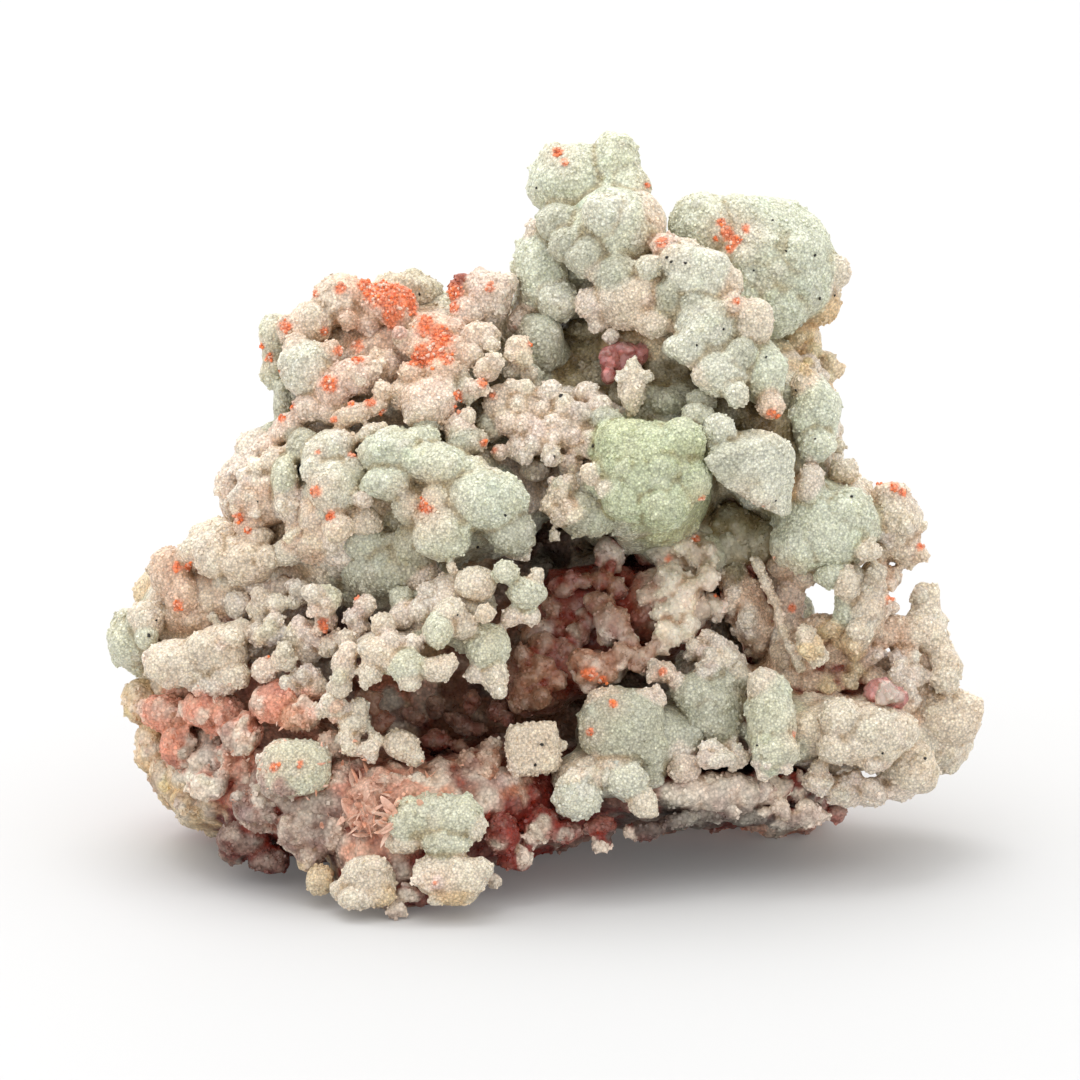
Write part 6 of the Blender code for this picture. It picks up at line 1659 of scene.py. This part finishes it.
def cubelets(places, halves, rng):
    """Corners and faces of small cubes, each turned its own way and slightly out of square."""
    corners = np.array(list(np.ndindex(2, 2, 2)), dtype=float) * 2.0 - 1.0
    local = corners[None] * halves[:, None, :] * rng.uniform(0.82, 1.18, (len(places), 8, 3))
    turned = np.einsum("lij,lkj->lki", proper_turns(len(places), rng), local)
    quads = np.array(((0, 1, 3, 2), (4, 6, 7, 5), (0, 4, 5, 1), (2, 3, 7, 6), (0, 2, 6, 4), (1, 5, 7, 3)))
    return turned + places[:, None, :], quads


def proper_turns(count, rng):
    """Random rotations without mirroring, so that faces keep pointing outwards."""
    turns = random_turns(count, rng)
    return turns * np.sign(np.linalg.det(turns))[:, None, None]


def grow_grains(context, name, slot, low, high, share, hidden_share, edge, seed):
    """Tiny cubic crystals sown over the skins of one slot, between two heights on the display face."""
    sizes, _colours = settings_of(context)
    rng = np.random.default_rng(seed)
    places, outward, tints, seen = skin_points(sizes, slot)
    chance = np.where(seen, share, hidden_share)
    inside = (places[:, 1] >= low) & (places[:, 1] < high)
    chosen = np.flatnonzero(inside & (rng.random(len(places)) < chance))
    half = edge * 0.5 * rng.uniform(0.5, 1.6, (len(chosen), 1))
    halves = half * rng.uniform(0.8, 1.2, (len(chosen), 3))
    middles = places[chosen] + outward[chosen] * half * rng.uniform(-0.75, 0.0, (len(chosen), 1))
    corners, quads = cubelets(middles, halves, rng)
    faces = (quads[None] + np.arange(len(chosen))[:, None, None] * 8).reshape(-1, 4)
    mesh = new_mesh(name, keep_in_box(to_world(corners.reshape(-1, 3), sizes)), [faces])
    shade = np.clip(tints[chosen] * rng.uniform(0.88, 1.10, (len(chosen), 1)), 0.0, 1.0)
    paint(mesh, np.repeat(shade, 8, axis=0))
    link_piece(name, mesh, "loose_sugar", slot, ())
    mesh.shade_flat()


def scattered_mesh(name, places, outward, halves, tints, sizes, rng, skin):
    """Small crystals at given places as one mesh of closed polyhedra, a few dozen faces each."""
    middles = places + outward * (halves.mean(axis=1, keepdims=True) * 0.25)
    grid, *faces = lump_skin(pebbles(middles, halves, tints, rng), *skin, rng)
    points, face_arrays = stack_meshes(((grid, *faces),))
    mesh = new_mesh(name, keep_in_box(to_world(points, sizes)), face_arrays)
    paint(mesh, np.repeat(tints, grid.shape[1], axis=0))
    return mesh


def grow_crust(context, name, seed, slot):
    """Orange granules sown on the seen skin inside the spots, thickest in the middle of each."""
    sizes, colours = settings_of(context)
    rng = np.random.default_rng(seed)
    places, outward = seen_skin(sizes)
    chosen = np.flatnonzero(rng.random(len(places)) < spot_field(places) * 0.34)
    radius = rng.uniform(0.07, 0.2, (len(chosen), 1))
    halves = radius * rng.uniform(0.75, 1.25, (len(chosen), 3))
    light = rng.uniform(0.75, 1.35, (len(chosen), 1))
    pale = rng.uniform(0.0, 0.95, len(chosen)) ** 2
    tints = mix(np.clip(linear(colours.spot) * light, 0.0, 1.0), linear(colours.blush), pale)
    mesh = scattered_mesh(name, places[chosen], outward[chosen], halves, tints, sizes, rng, GRANULE_SKIN)
    link_piece(name, mesh, "iron_crust", slot, ())


def grow_specks(context, name, seed, slot):
    """One dark speck at each listed place, on the skin nearest to the viewer."""
    sizes, colours = settings_of(context)
    rng = np.random.default_rng(seed)
    places, outward = seen_skin(sizes)
    rows = []
    for across, up, radius in SPECKS:
        away = np.hypot(places[:, 0] - across, places[:, 1] - up)
        if away.min() < 0.8:
            near = np.flatnonzero(away < max(0.3, away.min() + 0.01))
            rows.append((near[places[near, 2].argmax()], radius))
    index, radius = (np.array(column) for column in zip(*rows))
    halves = radius[:, None] * rng.uniform(0.6, 1.25, (len(index), 3))
    tints = linear(colours.speck) * rng.uniform(0.6, 1.7, (len(index), 1))
    mesh = scattered_mesh(name, places[index], outward[index], halves, tints, sizes, rng, SPECK_SKIN)
    link_piece(name, mesh, "fine_specks", slot, ())


def blades(roots, directions, lengths, widths, rng):
    """Thin closed blades that bend as they rise, as (points, quads, caps).

    Along a blade t runs from 0 to 1; its half width is width * sin(pi * (0.15 + 0.83 t)) ** 0.6 and its half
    thickness 0.16 of that. Around it the section is a flat ellipse. The middle line is
    root + direction * length * t + flat * bend * t ** 2.
    """
    rings, segments = 7, 8
    t = np.linspace(0.0, 1.0, rings)
    turn = np.arange(segments) * (2.0 * math.pi / segments)
    side = np.cross(directions, rng.normal(size=directions.shape))
    side /= np.linalg.norm(side, axis=1, keepdims=True)
    flat = np.cross(directions, side)
    bend = rng.uniform(-0.5, 0.5, (len(roots), 1)) * lengths[:, None]
    middle = (
        roots[:, None, :]
        + directions[:, None, :] * (lengths[:, None] * t)[..., None]
        + flat[:, None, :] * (bend * t**2)[..., None]
    )
    half = widths[:, None] * np.sin(math.pi * (0.15 + 0.83 * t)) ** 0.6
    ring = (
        middle[:, :, None, :]
        + side[:, None, None, :] * (half[:, :, None] * np.cos(turn))[..., None]
        + flat[:, None, None, :] * (0.16 * half[:, :, None] * np.sin(turn))[..., None]
    )
    points = np.concatenate((ring.reshape(len(roots), -1, 3), middle[:, :1], middle[:, -1:]), axis=1)
    quads, caps = tube_faces(rings, segments)
    # These rings run the other way round than those of a ball, so the faces are turned over
    return points, quads[:, (0, 3, 2, 1)], caps[:, (0, 2, 1)]


def grow_flakes(context, name, seed, slot, nodes):
    """Pink blades that stand out of the rock in the flake patches."""
    sizes, colours = settings_of(context)
    rng = np.random.default_rng(seed)
    places, outward = seen_skin(sizes)
    roots, directions, lengths = [], [], []
    for across, up, radius, number, length in FLAKE_PATCHES:
        near = np.flatnonzero(np.hypot(places[:, 0] - across, places[:, 1] - up) < radius)
        chosen = rng.choice(near, size=min(number, len(near)), replace=False)
        roots.append(places[chosen] - outward[chosen] * 0.25)
        lean = outward[chosen] * 0.8 + rng.normal(0.0, 0.75, (len(chosen), 3)) + (-0.1, 0.15, 0.1)
        directions.append(lean / np.linalg.norm(lean, axis=1, keepdims=True))
        lengths.append(length * rng.uniform(0.55, 1.25, len(chosen)))
    roots, directions, lengths = (np.concatenate(x) for x in (roots, directions, lengths))
    widths = lengths * rng.uniform(0.10, 0.24, len(lengths))
    grid, *face_sets = blades(roots, directions, lengths, widths, rng)
    points, faces = stack_meshes(((grid, *face_sets),))
    mesh = new_mesh(name, keep_in_box(to_world(points, sizes)), faces)
    pale = rng.uniform(0.0, 1.0, len(roots))
    tints = mix(np.tile(linear(colours.frill), (len(roots), 1)), linear(colours.blush), pale * 0.6)
    rusty = rng.random(len(roots)) < 0.3
    tints[rusty] = tints[rusty] * 0.5 + linear(colours.crust) * 0.5
    paint(mesh, np.repeat(tints, grid.shape[1], axis=0))
    link_piece(name, mesh, "loose_sugar", slot, nodes)


def place_camera(context):
    """Camera square on to the display face, far away with a long lens, so that nothing is stretched."""
    sizes = context.scene.specimen_sizes
    distance = 1.2
    width_seen = VIEW_WIDTH * sizes.width / TABLE_WIDTH
    target = to_world(np.array(VIEW_MIDDLE), sizes)
    camera = bpy.data.cameras.new("camera")
    camera.sensor_width = 36.0
    camera.lens = camera.sensor_width * distance / width_seen
    camera.clip_start = 0.01
    camera.clip_end = 50.0
    obj = bpy.data.objects.new("camera", camera)
    bpy.context.scene.collection.objects.link(obj)
    towards = Vector((0.0, -math.cos(sizes.tilt), math.sin(sizes.tilt)))
    obj.location = Vector(target) + towards * distance
    obj.rotation_euler = (math.pi / 2.0 - sizes.tilt, 0.0, 0.0)
    bpy.context.scene.camera = obj


def area_light(name, place, aim, side, power):
    """A square soft light at a place, pointing at another."""
    light = bpy.data.lights.new(name, "AREA")
    light.shape = "SQUARE"
    light.size = side
    light.energy = power
    obj = bpy.data.objects.new(name, light)
    bpy.context.scene.collection.objects.link(obj)
    obj.location = place
    obj.rotation_euler = (Vector(aim) - Vector(place)).to_track_quat("-Z", "Y").to_euler()


def build_stage(context):
    """Plain pale floor, an even bright surrounding and a soft light from above."""
    scene = context.scene
    cells = 20
    side = np.linspace(-2.5, 2.5, cells + 1)
    across, depth = np.meshgrid(side, side, indexing="ij")
    points = np.stack((across, depth, np.zeros_like(across)), axis=-1).reshape(-1, 3)
    row, column = np.meshgrid(np.arange(cells), np.arange(cells), indexing="ij")
    start = row * (cells + 1) + column
    quads = np.stack((start, start + cells + 1, start + cells + 2, start + 1), axis=-1).reshape(-1, 4)
    mesh = new_mesh("floor", points, [quads])
    mesh.materials.append(floor_material(scene.specimen_colours))
    floor = bpy.data.objects.new("floor", mesh)
    scene.collection.objects.link(floor)
    world = bpy.data.worlds.new("studio")
    world.use_nodes = True
    background = world.node_tree.nodes["Background"]
    background.inputs["Color"].default_value = (1.0, 1.0, 1.0, 1.0)
    background.inputs["Strength"].default_value = 1.30
    scene.world = world
    area_light("top_light", (-0.10, 0.16, 0.60), (0.0, 0.0, 0.02), 0.50, 2.3)
    scene.view_settings.view_transform = "Standard"


SUGAR = Growth("boracite_cluster", "boracite", "pale_crystal_sugar")
ROUGH = Growth("matrix", "matrix_rock", "rough_rock", dirty=0.2, knobs=3.0, grain=2.0, mixed=0.75)
ROCK = ROUGH._replace(swing=0.16, wander=1.8, melt=0, fill=1)
RUSTY = Growth("cavity_druse", "rusty_druse", "bead_coat", dirty=0.25, swing=0.09, fill=3)
GLASSY = Growth("hilgardite_crystals", "hilgardite", "rose_crystal", knobs=6.0, cell=0.5, grain=0.5)
ROSE = GLASSY._replace(swing=0.25, melt=0, fill=0)

# Groups of lumps on the display side of the cluster: (name, table, seed, growth)
CLUSTER_GROUPS = (
    ("crown", CROWN, 11, SUGAR._replace(melt=2)),
    ("egg", EGG, 12, SUGAR._replace(melt=3)),
    ("right_column", RIGHT_COLUMN, 13, SUGAR),
    ("right_wing", RIGHT_WING, 14, SUGAR._replace(dirty=0.15)),
    ("lower_right", LOWER_RIGHT, 15, SUGAR._replace(dirty=-0.3)),
    ("centre", CENTRE, 16, SUGAR),
    ("left_shoulder", LEFT_SHOULDER, 17, SUGAR),
    ("left_middle", LEFT_MIDDLE, 18, SUGAR),
    ("chain", CHAIN, 19, SUGAR),
    ("far_left", FAR_LEFT, 20, SUGAR),
)

# Boracite that stands apart from the cluster
LOOSE_GROUPS = (
    ("front_knobs", FRONT_KNOBS, 23, SUGAR._replace(node="boracite_front_knobs")),
    ("left_block", LEFT_BLOCK, 24, SUGAR._replace(node="boracite_left_block")),
    ("bead_row", BEAD_ROW, 25, SUGAR._replace(node="matrix")),
    ("cube", CUBE, 26, SUGAR._replace(node="boracite_cube", dirty=-2.0, knobs=0.35, cell=0.8, grain=0.6)),
)

ROCK_GROUPS = (
    ("rock_face", MATRIX, 27, ROCK),
    ("cave_beads", CAVE_BEADS, 30, RUSTY._replace(node="matrix", slot="matrix_rock", dirty=0.4)),
)

ROSE_GROUPS = (
    ("rose_crystals", HILGARDITE, 33, ROSE),
    ("rose_crystals_right", HILGARDITE_RIGHT, 34, ROSE._replace(node="hilgardite_right")),
)

# Loose grains: (name, slot, lowest and highest place, share of the seen and of the other points, edge, seed)
GRAINS = (
    ("grains_top", "boracite", 38.0, 99.0, 0.15, 0.010, 0.17, 38),
    ("grains_middle", "boracite", 22.0, 38.0, 0.15, 0.010, 0.17, 39),
    ("grains_low", "boracite", -9.0, 22.0, 0.15, 0.010, 0.17, 40),
    ("grains_rock", "matrix_rock", -9.0, 99.0, 0.14, 0.010, 0.20, 41),
    ("grains_druse", "rusty_druse", -9.0, 99.0, 0.10, 0.010, 0.18, 42),
)


class SPECIMEN_OT_cluster_lumps(bpy.types.Operator):
    """Grow the ten groups of pale lumps on the display side"""

    bl_idname = "specimen.cluster_lumps"
    bl_label = "Cluster lumps"

    def execute(self, context):
        for row in CLUSTER_GROUPS:
            grow_group(context, *row)
        return {"FINISHED"}


class SPECIMEN_OT_cluster_heart(bpy.types.Operator):
    """Grow the bulk between the lumps, and the lumps on the far side"""

    bl_idname = "specimen.cluster_heart"
    bl_label = "Heart of the cluster"

    def execute(self, context):
        grow_heart(context, "cluster_heart", 0, CLUSTER_TABLES, 21, SUGAR._replace(dirty=0.1, cell=1.9), 0.62)
        far_side = SUGAR._replace(knobs=1.3, cell=1.5, grain=1.2, wander=1.2)
        grow_group(context, "cluster_back", BACK_OF_CLUSTER, 22, far_side, far_side=True)
        return {"FINISHED"}


class SPECIMEN_OT_loose_boracite(bpy.types.Operator):
    """Grow the knobs on the front foot, the block, the row of beads and the cube"""

    bl_idname = "specimen.loose_boracite"
    bl_label = "Loose boracite"

    def execute(self, context):
        for row in LOOSE_GROUPS:
            grow_group(context, *row)
        return {"FINISHED"}


class SPECIMEN_OT_rock(bpy.types.Operator):
    """Grow the pink, grey and rusty rock, and the brown beads in the lower cave"""

    bl_idname = "specimen.rock"
    bl_label = "Rock"

    def execute(self, context):
        for row in ROCK_GROUPS:
            grow_group(context, *row)
        heart = ROCK._replace(dirty=0.4, cell=1.9, grain=1.0)
        grow_heart(context, "rock_heart", 1, (MATRIX, CAVE_BEADS), 28, heart, 0.55)
        far_side = ROCK._replace(dirty=0.3, knobs=1.6, cell=1.6)
        grow_group(context, "rock_back", BACK_OF_MATRIX, 29, far_side, far_side=True)
        return {"FINISHED"}


class SPECIMEN_OT_druse(bpy.types.Operator):
    """Grow the brown and cream druse between the two caves"""

    bl_idname = "specimen.druse"
    bl_label = "Druse"

    def execute(self, context):
        grow_group(context, "druse", DRUSE, 31, RUSTY)
        grow_heart(context, "druse_heart", 2, (DRUSE,), 32, RUSTY._replace(dirty=0.5, cell=1.9), 0.5)
        return {"FINISHED"}


class SPECIMEN_OT_hilgardite(bpy.types.Operator):
    """Grow the rose crystals in the bay under the crown and at the lower right"""

    bl_idname = "specimen.hilgardite"
    bl_label = "Hilgardite"

    def execute(self, context):
        for row in ROSE_GROUPS:
            grow_group(context, *row)
        return {"FINISHED"}


class SPECIMEN_OT_coatings(bpy.types.Operator):
    """Sow the orange granules, the dark specks and the pink blades on the rock"""

    bl_idname = "specimen.coatings"
    bl_label = "Coatings"

    def execute(self, context):
        grow_crust(context, "orange_crust", 35, "boracite")
        grow_specks(context, "dark_specks", 36, "boracite")
        grow_flakes(context, "pink_flakes", 37, "matrix_rock", ["matrix"])
        return {"FINISHED"}


class SPECIMEN_OT_grains(bpy.types.Operator):
    """Sow tiny loose crystals over all the skins"""

    bl_idname = "specimen.grains"
    bl_label = "Grains"

    def execute(self, context):
        for row in GRAINS:
            grow_grains(context, *row)
        return {"FINISHED"}


class SPECIMEN_OT_stage(bpy.types.Operator):
    """Set the floor, the lights and the camera"""

    bl_idname = "specimen.stage"
    bl_label = "Stage"

    def execute(self, context):
        build_stage(context)
        place_camera(context)
        return {"FINISHED"}


OPERATORS = (
    SPECIMEN_OT_cluster_lumps,
    SPECIMEN_OT_cluster_heart,
    SPECIMEN_OT_loose_boracite,
    SPECIMEN_OT_rock,
    SPECIMEN_OT_druse,
    SPECIMEN_OT_hilgardite,
    SPECIMEN_OT_coatings,
    SPECIMEN_OT_grains,
    SPECIMEN_OT_stage,
)


class SPECIMEN_PT_panel(bpy.types.Panel):
    """Sizes, colours and one button for each piece"""

    bl_idname = "SPECIMEN_PT_panel"
    bl_label = "Specimen"
    bl_space_type = "VIEW_3D"
    bl_region_type = "UI"
    bl_category = "Specimen"

    def draw(self, context):
        for group in (context.scene.specimen_sizes, context.scene.specimen_colours):
            box = self.layout.box()
            for key in group.__annotations__:
                box.prop(group, key)
        for operator in OPERATORS:
            self.layout.operator(operator.bl_idname)


CLASSES = (SpecimenSizes, SpecimenColours, *OPERATORS, SPECIMEN_PT_panel)


def register():
    """Registers every class and the settings that a scene keeps."""
    for cls in CLASSES:
        bpy.utils.register_class(cls)
    bpy.types.Scene.specimen_sizes = bpy.props.PointerProperty(type=SpecimenSizes)
    bpy.types.Scene.specimen_colours = bpy.props.PointerProperty(type=SpecimenColours)


def unregister():
    """Takes away what register added."""
    del bpy.types.Scene.specimen_colours
    del bpy.types.Scene.specimen_sizes
    for cls in reversed(CLASSES):
        bpy.utils.unregister_class(cls)


def main():
    register()
    for operator in OPERATORS:
        getattr(bpy.ops.specimen, operator.bl_idname.split(".")[1])()


if __name__ == "__main__":
    main()
